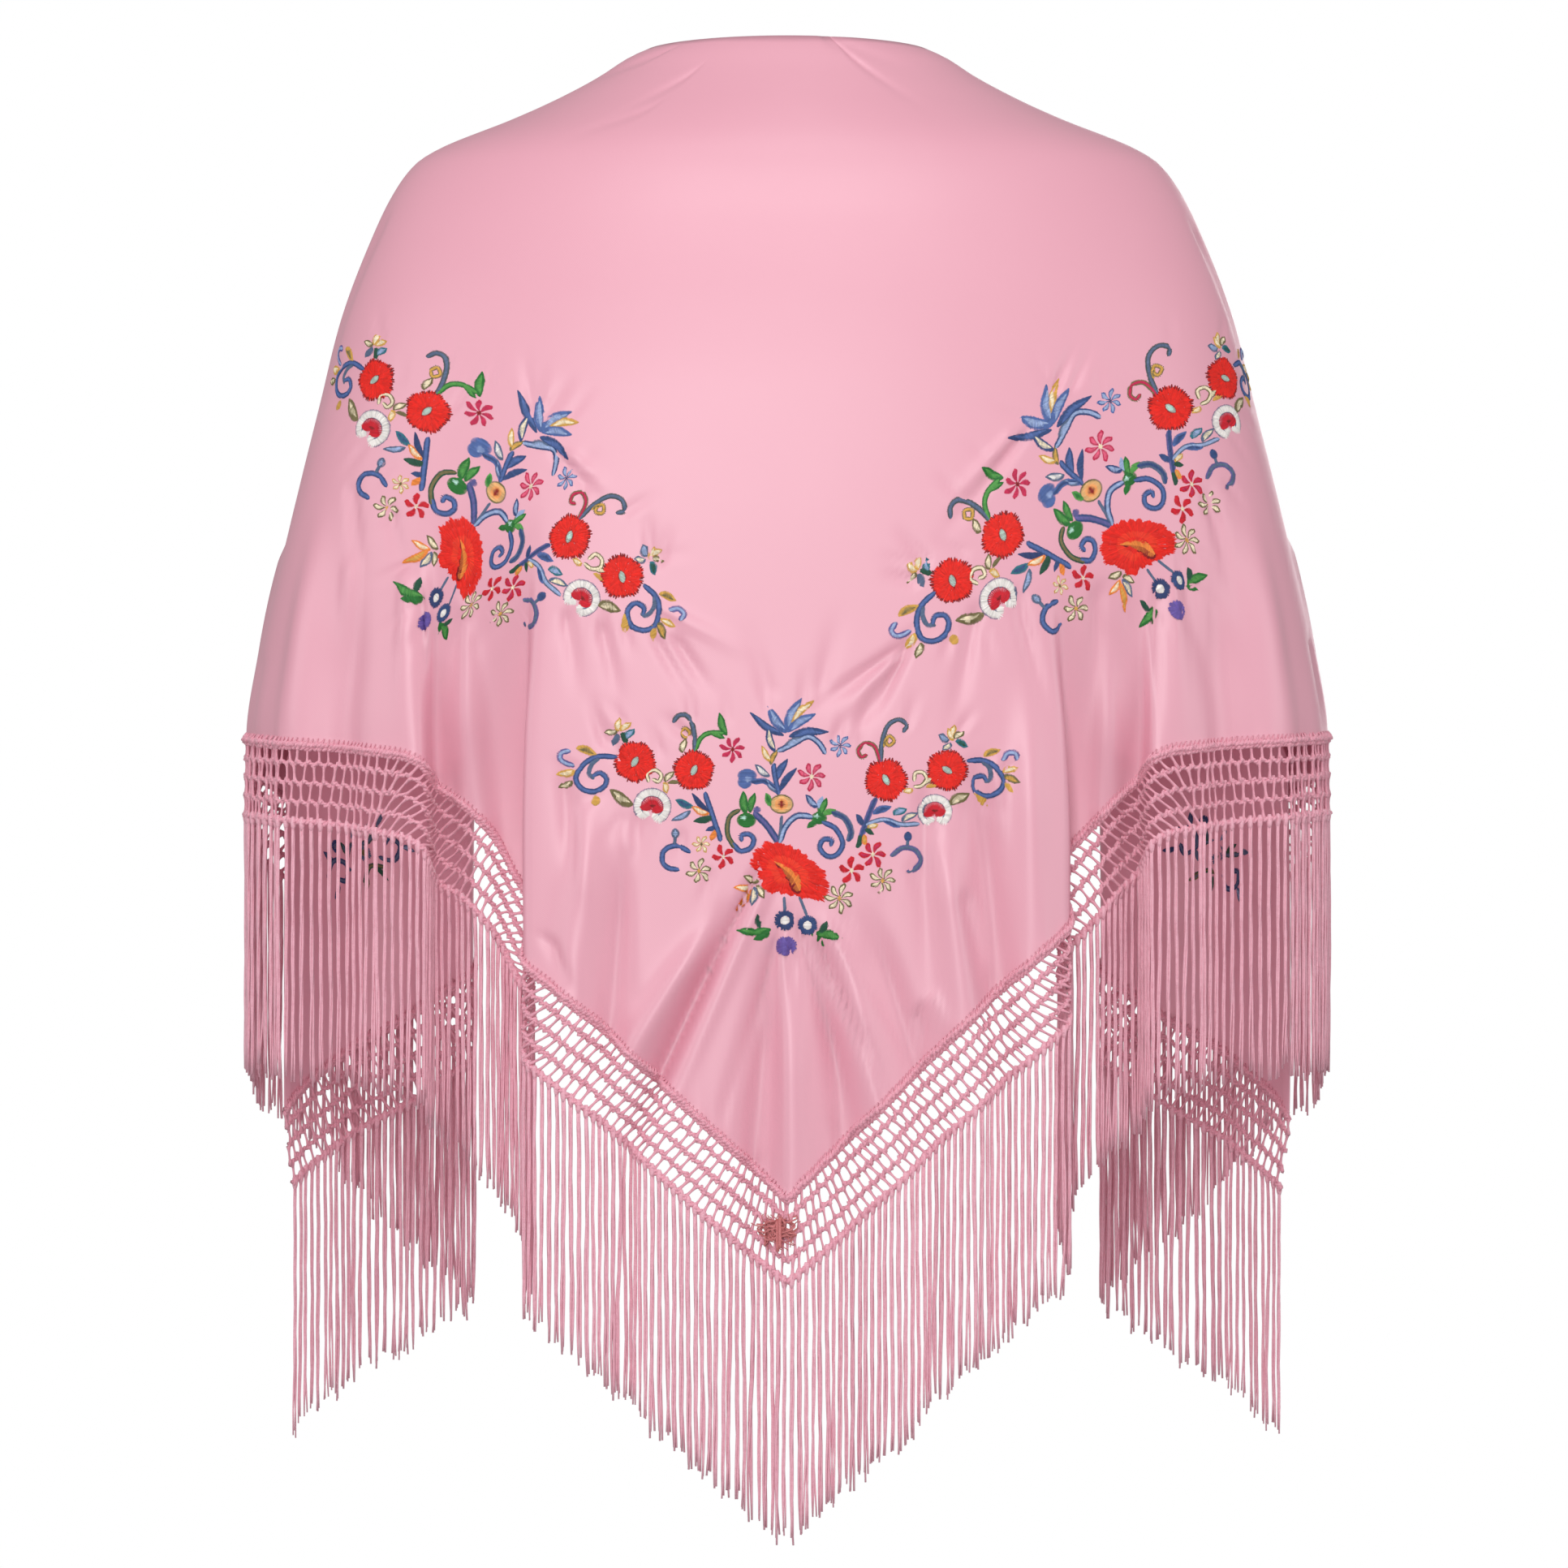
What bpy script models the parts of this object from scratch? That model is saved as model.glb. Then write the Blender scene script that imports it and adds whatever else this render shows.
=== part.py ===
"""Triangular flamenco shawl, worn over the shoulders, with its front edges turned in below the chest.

Metres, +Z up. The wearer faces +Y, and the origin is where the shoulders carry the cloth.
The cloth is followed by two numbers: the distance along its run, which is 0 at the middle of the
back and grows to the wearer's right, and the height. The run goes round the back, over the arm to
the front edge and, past that edge, back outward inside the front as the turned-in end.
"""

import math
import random

import bmesh
import bpy
import numpy as np

# Driving dimensions
CLOTH_THICKNESS = 0.0015
NET_THICKNESS = 0.0016
SEAM_GAP = 0.0006
HEM_GAP = 0.0012
STRIP_GAP = 0.0012
BORDER = 0.0015
TOP_HEIGHT = 0.050
NECK_DIP = 0.0045
RUN_TO_FRONT_EDGE = 0.53
TURN_RADIUS = 0.008
TURNED_IN_RUN = 0.158
BACK_STRETCH_RUN = 0.173
FRINGE_LENGTH = 0.145
STRIP_HEIGHT = 0.003
STRIP_THICKNESS = 0.0024
STRAND_WIDTH = 0.0026
STRAND_TIP_SHARE = 0.7
STRAND_WANDER = 0.0012

SECTION_SAMPLES = 161
TANGENT_STEP = 0.004

# The closed form that the cloth lies on, level by level: half width, how far the back and the
# front stand from the middle plane, where the widest point lies, how square the outline is, and
# the angle from the middle of the back to the front edge.
SECTION_COLUMNS = ("height", "half_width", "back", "front", "side", "squareness", "opening_deg")
SECTIONS = (
    (-0.700, 0.3045, -0.133, 0.116, 0.003, 2.50, 117.0),
    (-0.460, 0.3045, -0.134, 0.116, 0.003, 2.50, 117.0),
    (-0.336, 0.3030, -0.137, 0.119, 0.002, 2.50, 118.0),
    (-0.288, 0.2945, -0.138, 0.122, 0.000, 2.50, 120.3),
    (-0.215, 0.2775, -0.139, 0.122, -0.004, 2.50, 125.3),
    (-0.151, 0.2615, -0.138, 0.120, -0.007, 2.45, 129.0),
    (-0.105, 0.2500, -0.134, 0.116, -0.009, 2.40, 131.0),
    (-0.055, 0.2310, -0.124, 0.106, -0.011, 2.30, 130.5),
    (-0.032, 0.2195, -0.116, 0.099, -0.012, 2.25, 129.0),
    (-0.017, 0.2080, -0.109, 0.092, -0.013, 2.20, 127.0),
    (-0.009, 0.1955, -0.105, 0.087, -0.013, 2.15, 125.5),
    (0.007, 0.1560, -0.095, 0.073, -0.015, 2.05, 121.0),
    (0.018, 0.1325, -0.087, 0.062, -0.016, 2.00, 117.5),
    (0.033, 0.1060, -0.076, 0.047, -0.018, 2.00, 109.0),
    (0.045, 0.0890, -0.068, 0.036, -0.020, 2.00, 98.0),
    (0.050, 0.0795, -0.064, 0.030, -0.020, 2.00, 90.0),
)

# The sewn lower edge, by run from the middle of the back, and how far the net hangs below it.
HEM_COLUMNS = ("run", "height", "net_drop")
HEM = (
    (-0.688, -0.5480, 0.050),
    (-0.530, -0.4595, 0.052),
    (-0.420, -0.3640, 0.047),
    (-0.370, -0.3380, 0.043),
    (-0.300, -0.3400, 0.043),
    (-0.214, -0.3465, 0.046),
    (-0.205, -0.3510, 0.048),
    (-0.196, -0.3610, 0.054),
    (-0.166, -0.3880, 0.054),
    (-0.151, -0.4230, 0.056),
    (-0.138, -0.4580, 0.054),
    (-0.100, -0.4945, 0.053),
    (-0.030, -0.5600, 0.051),
    (0.000, -0.5870, 0.046),
    (0.030, -0.5575, 0.051),
    (0.100, -0.4880, 0.053),
    (0.146, -0.4410, 0.054),
    (0.164, -0.3950, 0.056),
    (0.196, -0.3570, 0.052),
    (0.205, -0.3480, 0.048),
    (0.214, -0.3440, 0.046),
    (0.300, -0.3385, 0.043),
    (0.370, -0.3370, 0.043),
    (0.420, -0.3640, 0.047),
    (0.530, -0.4595, 0.052),
    (0.688, -0.5520, 0.050),
)

# The upper edge of the turned-in end, by run.
END_TOP_COLUMNS = ("run", "height")
END_TOP = ((0.530, -0.180), (0.580, -0.232), (0.640, -0.296), (0.688, -0.350))

# The two deep folds on each side of the back: the cloth steps in at the first edge and out again
# at the second, and each edge leans over the hollow between them.
HOLLOW_COLUMNS = ("side", "inner_top_run", "inner_low_run", "outer_run", "top", "low", "depth", "lean")
HOLLOWS = (
    (-1, 0.1385, 0.1425, 0.199, -0.200, -0.400, 0.027, 0.0055),
    (1, 0.1450, 0.1525, 0.199, -0.225, -0.400, 0.025, 0.0055),
)
HOLLOW_EDGE_WIDTH = 0.0065

# Soft ridges (depth over 0) and troughs (under 0), each from an upper to a lower point.
FOLD_COLUMNS = ("top_run", "top", "low_run", "low", "half_width", "depth")
FOLDS = (
    (-0.026, -0.420, -0.078, -0.540, 0.007, -0.0060),
    (-0.034, -0.430, -0.092, -0.520, 0.009, 0.0040),
    (-0.008, -0.445, -0.020, -0.600, 0.010, -0.0050),
    (0.003, -0.445, 0.004, -0.620, 0.008, 0.0035),
    (0.016, -0.440, 0.036, -0.600, 0.009, -0.0045),
    (0.026, -0.440, 0.058, -0.570, 0.009, 0.0040),
    (0.040, -0.420, 0.076, -0.540, 0.008, -0.0035),
    (-0.105, -0.360, -0.118, -0.500, 0.010, 0.0045),
    (-0.084, -0.380, -0.098, -0.520, 0.008, -0.0035),
    (0.080, -0.370, 0.098, -0.500, 0.010, 0.0045),
    (0.104, -0.340, 0.116, -0.500, 0.009, -0.0040),
    (0.128, -0.300, 0.134, -0.480, 0.009, 0.0035),
    (-0.178, -0.270, -0.174, -0.420, 0.010, 0.0050),
    (0.176, -0.280, 0.178, -0.420, 0.009, 0.0045),
    (-0.245, -0.230, -0.250, -0.400, 0.012, -0.0035),
    (-0.275, -0.200, -0.282, -0.400, 0.014, 0.0040),
    (0.240, -0.230, 0.246, -0.400, 0.012, -0.0035),
    (0.272, -0.200, 0.280, -0.400, 0.014, 0.0040),
    (-0.400, -0.120, -0.418, -0.420, 0.016, 0.0050),
    (0.398, -0.110, 0.414, -0.420, 0.016, 0.0050),
    (-0.440, -0.140, -0.455, -0.460, 0.014, -0.0045),
    (0.442, -0.150, 0.458, -0.460, 0.014, -0.0045),
    (-0.485, -0.100, -0.492, -0.500, 0.013, 0.0040),
    (0.484, -0.090, 0.494, -0.500, 0.013, 0.0040),
    (-0.588, -0.300, -0.590, -0.620, 0.012, 0.0030),
    (0.590, -0.300, 0.588, -0.620, 0.012, 0.0030),
    (-0.622, -0.300, -0.620, -0.620, 0.011, -0.0030),
    (0.620, -0.300, 0.622, -0.620, 0.011, -0.0030),
)

# The stretches of the cloth, each with its own panel, net and fringe.
STRETCH_COLUMNS = ("name", "from_run", "to_run", "strands")
STRETCHES = (
    ("end_left", -(RUN_TO_FRONT_EDGE + TURNED_IN_RUN), -RUN_TO_FRONT_EDGE, 24),
    ("wrap_left", -RUN_TO_FRONT_EDGE, -BACK_STRETCH_RUN, 56),
    ("back_left", -BACK_STRETCH_RUN, 0.0, 38),
    ("back_right", 0.0, BACK_STRETCH_RUN, 38),
    ("wrap_right", BACK_STRETCH_RUN, RUN_TO_FRONT_EDGE, 56),
    ("end_right", RUN_TO_FRONT_EDGE, RUN_TO_FRONT_EDGE + TURNED_IN_RUN, 24),
)

# Where the columns of the panels lie, closer together at the deep folds.
PLAIN_SPACING = 0.0165
CLOSE_SPACING = 0.0038
CLOSE_RUNS = ((0.132, 0.158), (0.189, 0.212))
TURN_SPACING = 0.0042
UPPER_HEIGHTS = (
    0.050, 0.041, 0.029, 0.016, 0.003, -0.009, -0.026,
    -0.050, -0.085, -0.130, -0.180, -0.235, -0.290,
)
END_TOP_ROW = 10
LOWER_SHARES = (0.16, 0.32, 0.48, 0.65, 0.83)
NET_SHARES = (0.5, 1.0)

CLOTH_COLOUR = (0.80, 0.42, 0.50, 1.0)
YARN_COLOUR = (0.72, 0.28, 0.36, 1.0)


def column(table, names, name):
    """One named column of a table as an array."""
    return np.array([row[names.index(name)] for row in table], float)


def smooth_lookup(x, knots, values):
    """A cubic through the knots whose slopes are limited, so that it never overshoots."""
    steps = np.diff(knots)
    rises = np.diff(values) / steps
    slopes = np.empty(len(knots))
    slopes[0], slopes[-1] = rises[0], rises[-1]
    product = rises[:-1] * rises[1:]
    total = np.where(np.abs(rises[:-1] + rises[1:]) < 1e-12, 1.0, rises[:-1] + rises[1:])
    slopes[1:-1] = np.where(product > 0, 2 * product / total, 0.0)
    x = np.clip(x, knots[0], knots[-1])
    i = np.clip(np.searchsorted(knots, x) - 1, 0, len(steps) - 1)
    t = (x - knots[i]) / steps[i]
    return (
        values[i] * (1 + 2 * t) * (1 - t) ** 2
        + slopes[i] * steps[i] * t * (1 - t) ** 2
        + values[i + 1] * t**2 * (3 - 2 * t)
        + slopes[i + 1] * steps[i] * t**2 * (t - 1)
    )


def section_value(name, height):
    """One size of the form at each height."""
    knots = column(SECTIONS, SECTION_COLUMNS, "height")
    return smooth_lookup(height, knots, column(SECTIONS, SECTION_COLUMNS, name))


def half_sections(height):
    """The right half of the form's outline at each height, with the distance along it."""
    opening = np.radians(section_value("opening_deg", height))[:, None]
    half_width = section_value("half_width", height)[:, None]
    side = section_value("side", height)[:, None]
    back = side - section_value("back", height)[:, None]
    front = section_value("front", height)[:, None] - side
    power = section_value("squareness", height)[:, None]
    angle = opening * np.linspace(0, 1, SECTION_SAMPLES)[None, :]
    depth = np.where(np.cos(angle) > 0, back, front)
    across = np.abs(np.sin(angle) / half_width) ** power
    along = np.abs(np.cos(angle) / depth) ** power
    radius = (across + along) ** (-1 / power)
    x = radius * np.sin(angle)
    y = side - radius * np.cos(angle)
    steps = np.hypot(np.diff(x, axis=1), np.diff(y, axis=1))
    distance = np.concatenate([np.zeros((len(x), 1)), np.cumsum(steps, axis=1)], axis=1)
    return x, y, distance


def along_sections(sections, distance):
    """The point on each outline that lies this far along it."""
    x, y, lengths = sections
    index = np.clip((lengths < distance[:, None]).sum(axis=1) - 1, 0, SECTION_SAMPLES - 2)
    row = np.arange(len(index))
    start, end = lengths[row, index], lengths[row, index + 1]
    share = (distance - start) / (end - start)
    return np.stack(
        [
            x[row, index] + share * (x[row, index + 1] - x[row, index]),
            y[row, index] + share * (y[row, index + 1] - y[row, index]),
        ],
        axis=1,
    )


def bump(x):
    return np.exp(-(x**2))


def ease(x):
    """0 below 0, 1 above 1, smooth between."""
    x = np.clip(x, 0, 1)
    return x * x * (3 - 2 * x)


def step_up(x):
    """From 0 to 1 across x = 0, with its steep part about 1 wide."""
    return 0.5 * (1 + np.tanh(1.6 * x))


def fold_offsets(run, height):
    """How far the folds move the cloth outward, and along its run away from the middle of the back."""
    outward = np.zeros(len(run))
    sideways = np.zeros(len(run))
    for side, inner_top, inner_low, outer, top, low, depth, lean in HOLLOWS:
        near = np.where(run * side > 0, ease((top - height) / (top - low)), 0)
        inner = inner_top + (inner_low - inner_top) * near
        from_inner = (np.abs(run) - inner) / HOLLOW_EDGE_WIDTH
        from_outer = (np.abs(run) - outer) / HOLLOW_EDGE_WIDTH
        outward -= depth * near * (step_up(from_inner) - step_up(from_outer))
        for across in (from_inner, from_outer):
            sideways -= lean * near * across * np.exp(0.5 - 0.5 * across**2)
    for top_run, top, low_run, low, half_width, depth in FOLDS:
        share = (top - height) / (top - low)
        centre = top_run + (low_run - top_run) * np.clip(share, 0, 1.3)
        width = half_width * (0.7 + 0.5 * np.clip(share, 0, 1))
        outward += depth * ease(share * 2.2) * bump((run - centre) / width)
    return outward, sideways


def cloth_points(run, height):
    """The points of the cloth's middle surface at these runs and heights."""
    side = np.where(run < 0, -1.0, 1.0)
    past_edge = np.maximum(np.abs(run) - RUN_TO_FRONT_EDGE, 0)
    outward, sideways = fold_offsets(run, height)
    sections = half_sections(height)
    whole = sections[2][:, -1]
    share = np.minimum(np.abs(run) / RUN_TO_FRONT_EDGE, 1)
    half_turn = math.pi * TURN_RADIUS
    going_back = np.maximum(past_edge - half_turn, 0)
    distance = np.maximum(share * whole - going_back, 0)
    point = along_sections(sections, distance)
    low = np.maximum(distance - TANGENT_STEP, 0)
    high = np.minimum(distance + TANGENT_STEP, whole)
    tangent = along_sections(sections, high) - along_sections(sections, low)
    tangent /= np.linalg.norm(tangent, axis=1)[:, None]
    normal = np.stack([tangent[:, 1], -tangent[:, 0]], axis=1)
    turn = np.minimum(past_edge / TURN_RADIUS, math.pi)
    inward = TURN_RADIUS * (1 - np.cos(turn))
    forward = TURN_RADIUS * np.sin(turn)
    facing = np.where(past_edge > half_turn, -1.0, 1.0)
    outward = outward * facing
    point = point + normal * (outward - inward)[:, None] + tangent * (forward + sideways)[:, None]
    dip = NECK_DIP * share**2 * ease(height / TOP_HEIGHT)
    return np.stack([point[:, 0] * side, point[:, 1], height - dip], axis=1)


def hem_value(name, run):
    return smooth_lookup(run, column(HEM, HEM_COLUMNS, "run"), column(HEM, HEM_COLUMNS, name))


def end_top(run):
    knots = column(END_TOP, END_TOP_COLUMNS, "run")
    return smooth_lookup(np.abs(run), knots, column(END_TOP, END_TOP_COLUMNS, "height"))


def spaced_runs(start, end):
    """Columns from one seam to the next, close together at the deep folds and in the turn, with
    one more near each seam so that the walls on both sides of it face the same way."""
    marks = [start, start + BORDER]
    while True:
        here = marks[-1] + 1e-6
        close = any(low <= here <= high for low, high in CLOSE_RUNS)
        turning = RUN_TO_FRONT_EDGE <= here <= RUN_TO_FRONT_EDGE + math.pi * TURN_RADIUS
        spacing = CLOSE_SPACING if close else TURN_SPACING if turning else PLAIN_SPACING
        if marks[-1] + 1.7 * spacing > end:
            break
        marks.append(marks[-1] + spacing)
    return np.array(marks + [end - BORDER, end])


def panel_runs(start, end):
    """The same columns on the left as on the right."""
    if end <= 0:
        return -spaced_runs(-end, -start)[::-1]
    if start < 0:
        right = spaced_runs(0, end)
        return np.concatenate([-right[:0:-1], right])
    return spaced_runs(start, end)


def grid_points(runs, heights):
    """Points in rows from top to bottom, each row along the runs. Its two outer columns at each
    seam keep their real distances from it, also where the cloth gathers towards the neck."""
    run = np.broadcast_to(runs[None, :], heights.shape).copy()
    gathered = RUN_TO_FRONT_EDGE / half_sections(heights[:, 0])[2][:, -1]
    half_gap = SEAM_GAP / 2
    run[:, 0] = runs[0] + half_gap * gathered
    run[:, 1] = runs[0] + (half_gap + BORDER) * gathered
    run[:, -2] = runs[-1] - (half_gap + BORDER) * gathered
    run[:, -1] = runs[-1] - half_gap * gathered
    return cloth_points(run.ravel(), heights.ravel()).reshape(*heights.shape, 3)


def panel_heights(runs):
    """Rows that share their upper heights and below those close up to the hem."""
    hem = hem_value("height", runs)
    upper = np.repeat(np.array(UPPER_HEIGHTS)[:, None], len(runs), axis=1)
    share = np.array(LOWER_SHARES)[:, None]
    lower = UPPER_HEIGHTS[-1] + share * (hem - UPPER_HEIGHTS[-1])[None, :]
    return np.concatenate([upper, lower, [hem + BORDER, hem]])


def end_heights(runs):
    """The turned-in end's rows, which meet those of the panel at the front edge."""
    edge = panel_heights(np.array([RUN_TO_FRONT_EDGE]))[END_TOP_ROW:-2, 0]
    hem = hem_value("height", runs)
    share = ((edge[0] - edge) / (edge[0] - hem_value("height", np.array([RUN_TO_FRONT_EDGE]))))[:, None]
    rows = end_top(runs) + share * (hem - end_top(runs))
    return np.concatenate([rows, [hem + BORDER, hem]])


def steepness(edge):
    """How much longer an edge is than its level run, at each of its points."""
    ahead = np.gradient(edge, axis=0)
    return np.linalg.norm(ahead, axis=1) / np.linalg.norm(ahead[:, :2], axis=1)


def net_heights(runs):
    hem = hem_value("height", runs)
    top = hem - HEM_GAP * steepness(cloth_points(runs, hem))
    drop = top - hem + hem_value("net_drop", runs)
    lower = top - np.array(NET_SHARES)[:, None] * drop
    return np.concatenate([[top, top - BORDER], lower])


def link(name, mesh, material, collection):
    mesh.materials.append(material)
    mesh.shade_smooth()
    made = bpy.data.objects.new(name, mesh)
    collection.objects.link(made)
    return made


def sheet(name, points, thickness, material, collection):
    """A wall of this thickness about a grid of points in rows."""
    rows, columns = points.shape[:2]
    corner = np.arange(rows * columns).reshape(rows, columns)
    faces = np.stack(
        [corner[:-1, :-1], corner[1:, :-1], corner[1:, 1:], corner[:-1, 1:]], axis=-1
    ).reshape(-1, 4)
    mesh = bpy.data.meshes.new(name)
    mesh.from_pydata(points.reshape(-1, 3).tolist(), [], faces.tolist())
    made = link(name, mesh, material, collection)
    wall = made.modifiers.new("wall", "SOLIDIFY")
    wall.thickness = thickness
    wall.offset = 0
    return made


def strip_stations(edge, strands):
    """Points just under the net's lower edge, and the outward direction at each: its two ends and,
    for each strand, both sides of its root."""
    distance = np.concatenate([[0], np.cumsum(np.linalg.norm(np.diff(edge, axis=0), axis=1))])
    centres = (np.arange(strands) + 0.5) * distance[-1] / strands
    sides = np.stack([centres - STRAND_WIDTH / 2, centres + STRAND_WIDTH / 2], axis=1).ravel()
    sides = np.concatenate([[0], sides, [distance[-1]]])
    points = np.stack([np.interp(sides, distance, edge[:, axis]) for axis in range(3)], axis=1)
    ahead = np.gradient(edge[:, :2], axis=0)
    ahead /= np.linalg.norm(ahead, axis=1)[:, None]
    ahead = np.stack([np.interp(sides, distance, ahead[:, axis]) for axis in range(2)], axis=1)
    outward = np.stack([ahead[:, 1], -ahead[:, 0], np.zeros(len(sides))], axis=1)
    points[:, 2] -= STRIP_GAP * np.interp(sides, distance, steepness(edge))
    return points, outward / np.linalg.norm(outward, axis=1)[:, None]


def fringe(name, edge, strands, material, collection, seed):
    """A narrow strip under the net's lower edge, with a strand drawn down from it at each root."""
    upper, outward = strip_stations(edge, strands)
    lower = upper - np.array([0, 0, STRIP_HEIGHT])
    half = outward * STRIP_THICKNESS / 2
    rings = np.stack([upper + half, upper - half, lower - half, lower + half], axis=1)
    shape = bmesh.new()
    verts = [[shape.verts.new(corner) for corner in ring] for ring in rings]
    roots = []
    for k in range(len(verts) - 1):
        here, after = verts[k], verts[k + 1]
        for side in range(4):
            following = (side + 1) % 4
            face = shape.faces.new((here[side], here[following], after[following], after[side]))
            if side == 2 and k % 2 == 1:
                roots.append(face)
    shape.faces.new(verts[0][::-1])
    shape.faces.new(verts[-1])
    draw_strands(shape, roots, random.Random(seed))
    bmesh.ops.recalc_face_normals(shape, faces=shape.faces)
    mesh = bpy.data.meshes.new(name)
    shape.to_mesh(mesh)
    shape.free()
    return link(name, mesh, material, collection)


def draw_strands(shape, roots, chance):
    """Each root drawn straight down into a strand that narrows to its tip."""
    for face in bmesh.ops.extrude_discrete_faces(shape, faces=roots)["faces"]:
        middle = face.calc_center_median()
        shift = [chance.uniform(-STRAND_WANDER, STRAND_WANDER) for axis in range(2)]
        tip = min(vert.co.z for vert in face.verts) - FRINGE_LENGTH * chance.uniform(0.96, 1.0)
        for vert in face.verts:
            vert.co.x = middle.x + (vert.co.x - middle.x) * STRAND_TIP_SHARE + shift[0]
            vert.co.y = middle.y + (vert.co.y - middle.y) * STRAND_TIP_SHARE + shift[1]
            vert.co.z = tip


def material(name, colour, roughness):
    made = bpy.data.materials.new(name)
    made.use_nodes = True
    shader = made.node_tree.nodes["Principled BSDF"]
    shader.inputs["Base Color"].default_value = colour
    shader.inputs["Roughness"].default_value = roughness
    shader.inputs["Metallic"].default_value = 0.0
    return made


def build():
    for old in list(bpy.data.objects):
        bpy.data.objects.remove(old)
    collection = bpy.data.collections.new("flamenco_shawl")
    bpy.context.scene.collection.children.link(collection)
    satin = material("pink_satin", CLOTH_COLOUR, 0.38)
    yarn = material("pink_yarn", YARN_COLOUR, 0.7)

    panels = (
        ("cloth_back", -BACK_STRETCH_RUN, BACK_STRETCH_RUN),
        ("cloth_wrap_left", -RUN_TO_FRONT_EDGE, -BACK_STRETCH_RUN),
        ("cloth_wrap_right", BACK_STRETCH_RUN, RUN_TO_FRONT_EDGE),
    )
    for name, start, end in panels:
        runs = panel_runs(start, end)
        points = grid_points(runs, panel_heights(runs))
        sheet(name, points, CLOTH_THICKNESS, satin, collection)

    for seed, (name, start, end, strands) in enumerate(STRETCHES):
        runs = panel_runs(start, end)
        if name.startswith("end"):
            points = grid_points(runs, end_heights(runs))
            sheet("cloth_" + name, points, CLOTH_THICKNESS, satin, collection)
        net = grid_points(runs, net_heights(runs))
        sheet("net_" + name, net, NET_THICKNESS, yarn, collection)
        fringe("fringe_" + name, net[-1], strands, yarn, collection, seed)


build()
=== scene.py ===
"""Looks of the flamenco shawl: creased satin, crocheted net, long fringe and silk embroidery.

The cloth is followed by two numbers, as in the part's source: the run, which is the distance from
the middle of the back towards the wearer's right, and the height. Metres, +Z up, the back faces -Y.
"""

import math

import bpy
import numpy as np
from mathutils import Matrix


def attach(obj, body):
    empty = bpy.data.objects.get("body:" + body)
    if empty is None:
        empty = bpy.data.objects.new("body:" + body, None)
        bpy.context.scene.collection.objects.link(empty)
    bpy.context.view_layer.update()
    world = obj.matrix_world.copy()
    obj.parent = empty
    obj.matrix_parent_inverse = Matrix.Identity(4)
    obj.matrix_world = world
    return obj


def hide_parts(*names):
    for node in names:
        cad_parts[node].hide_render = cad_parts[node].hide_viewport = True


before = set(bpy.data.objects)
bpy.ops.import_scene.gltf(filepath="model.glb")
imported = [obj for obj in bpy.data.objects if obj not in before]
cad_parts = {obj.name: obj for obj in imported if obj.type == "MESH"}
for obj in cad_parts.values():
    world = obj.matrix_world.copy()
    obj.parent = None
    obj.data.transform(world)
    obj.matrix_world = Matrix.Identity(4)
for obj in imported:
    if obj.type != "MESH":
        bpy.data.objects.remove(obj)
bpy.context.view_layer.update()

# Sizes that the part's source has too
NECK_DIP = 0.0045
TOP_HEIGHT = 0.050
RUN_TO_FRONT_EDGE = 0.53
TURN_RADIUS = 0.008
TURNED_IN_RUN = 0.158
BACK_STRETCH_RUN = 0.173
FRINGE_LENGTH = 0.145
TANGENT_STEP = 0.004
HOLLOW_EDGE_WIDTH = 0.0065
END_RUN = RUN_TO_FRONT_EDGE + TURNED_IN_RUN

SECTION_COLUMNS = ("height", "half_width", "back", "front", "side", "squareness", "opening_deg")
SECTIONS = (
    (-0.700, 0.3045, -0.133, 0.116, 0.003, 2.50, 117.0),
    (-0.460, 0.3045, -0.134, 0.116, 0.003, 2.50, 117.0),
    (-0.336, 0.3030, -0.137, 0.119, 0.002, 2.50, 118.0),
    (-0.288, 0.2945, -0.138, 0.122, 0.000, 2.50, 120.3),
    (-0.215, 0.2775, -0.139, 0.122, -0.004, 2.50, 125.3),
    (-0.151, 0.2615, -0.138, 0.120, -0.007, 2.45, 129.0),
    (-0.105, 0.2500, -0.134, 0.116, -0.009, 2.40, 131.0),
    (-0.055, 0.2310, -0.124, 0.106, -0.011, 2.30, 130.5),
    (-0.032, 0.2195, -0.116, 0.099, -0.012, 2.25, 129.0),
    (-0.017, 0.2080, -0.109, 0.092, -0.013, 2.20, 127.0),
    (-0.009, 0.1955, -0.105, 0.087, -0.013, 2.15, 125.5),
    (0.007, 0.1560, -0.095, 0.073, -0.015, 2.05, 121.0),
    (0.018, 0.1325, -0.087, 0.062, -0.016, 2.00, 117.5),
    (0.033, 0.1060, -0.076, 0.047, -0.018, 2.00, 109.0),
    (0.045, 0.0890, -0.068, 0.036, -0.020, 2.00, 98.0),
    (0.050, 0.0795, -0.064, 0.030, -0.020, 2.00, 90.0),
)

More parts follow.
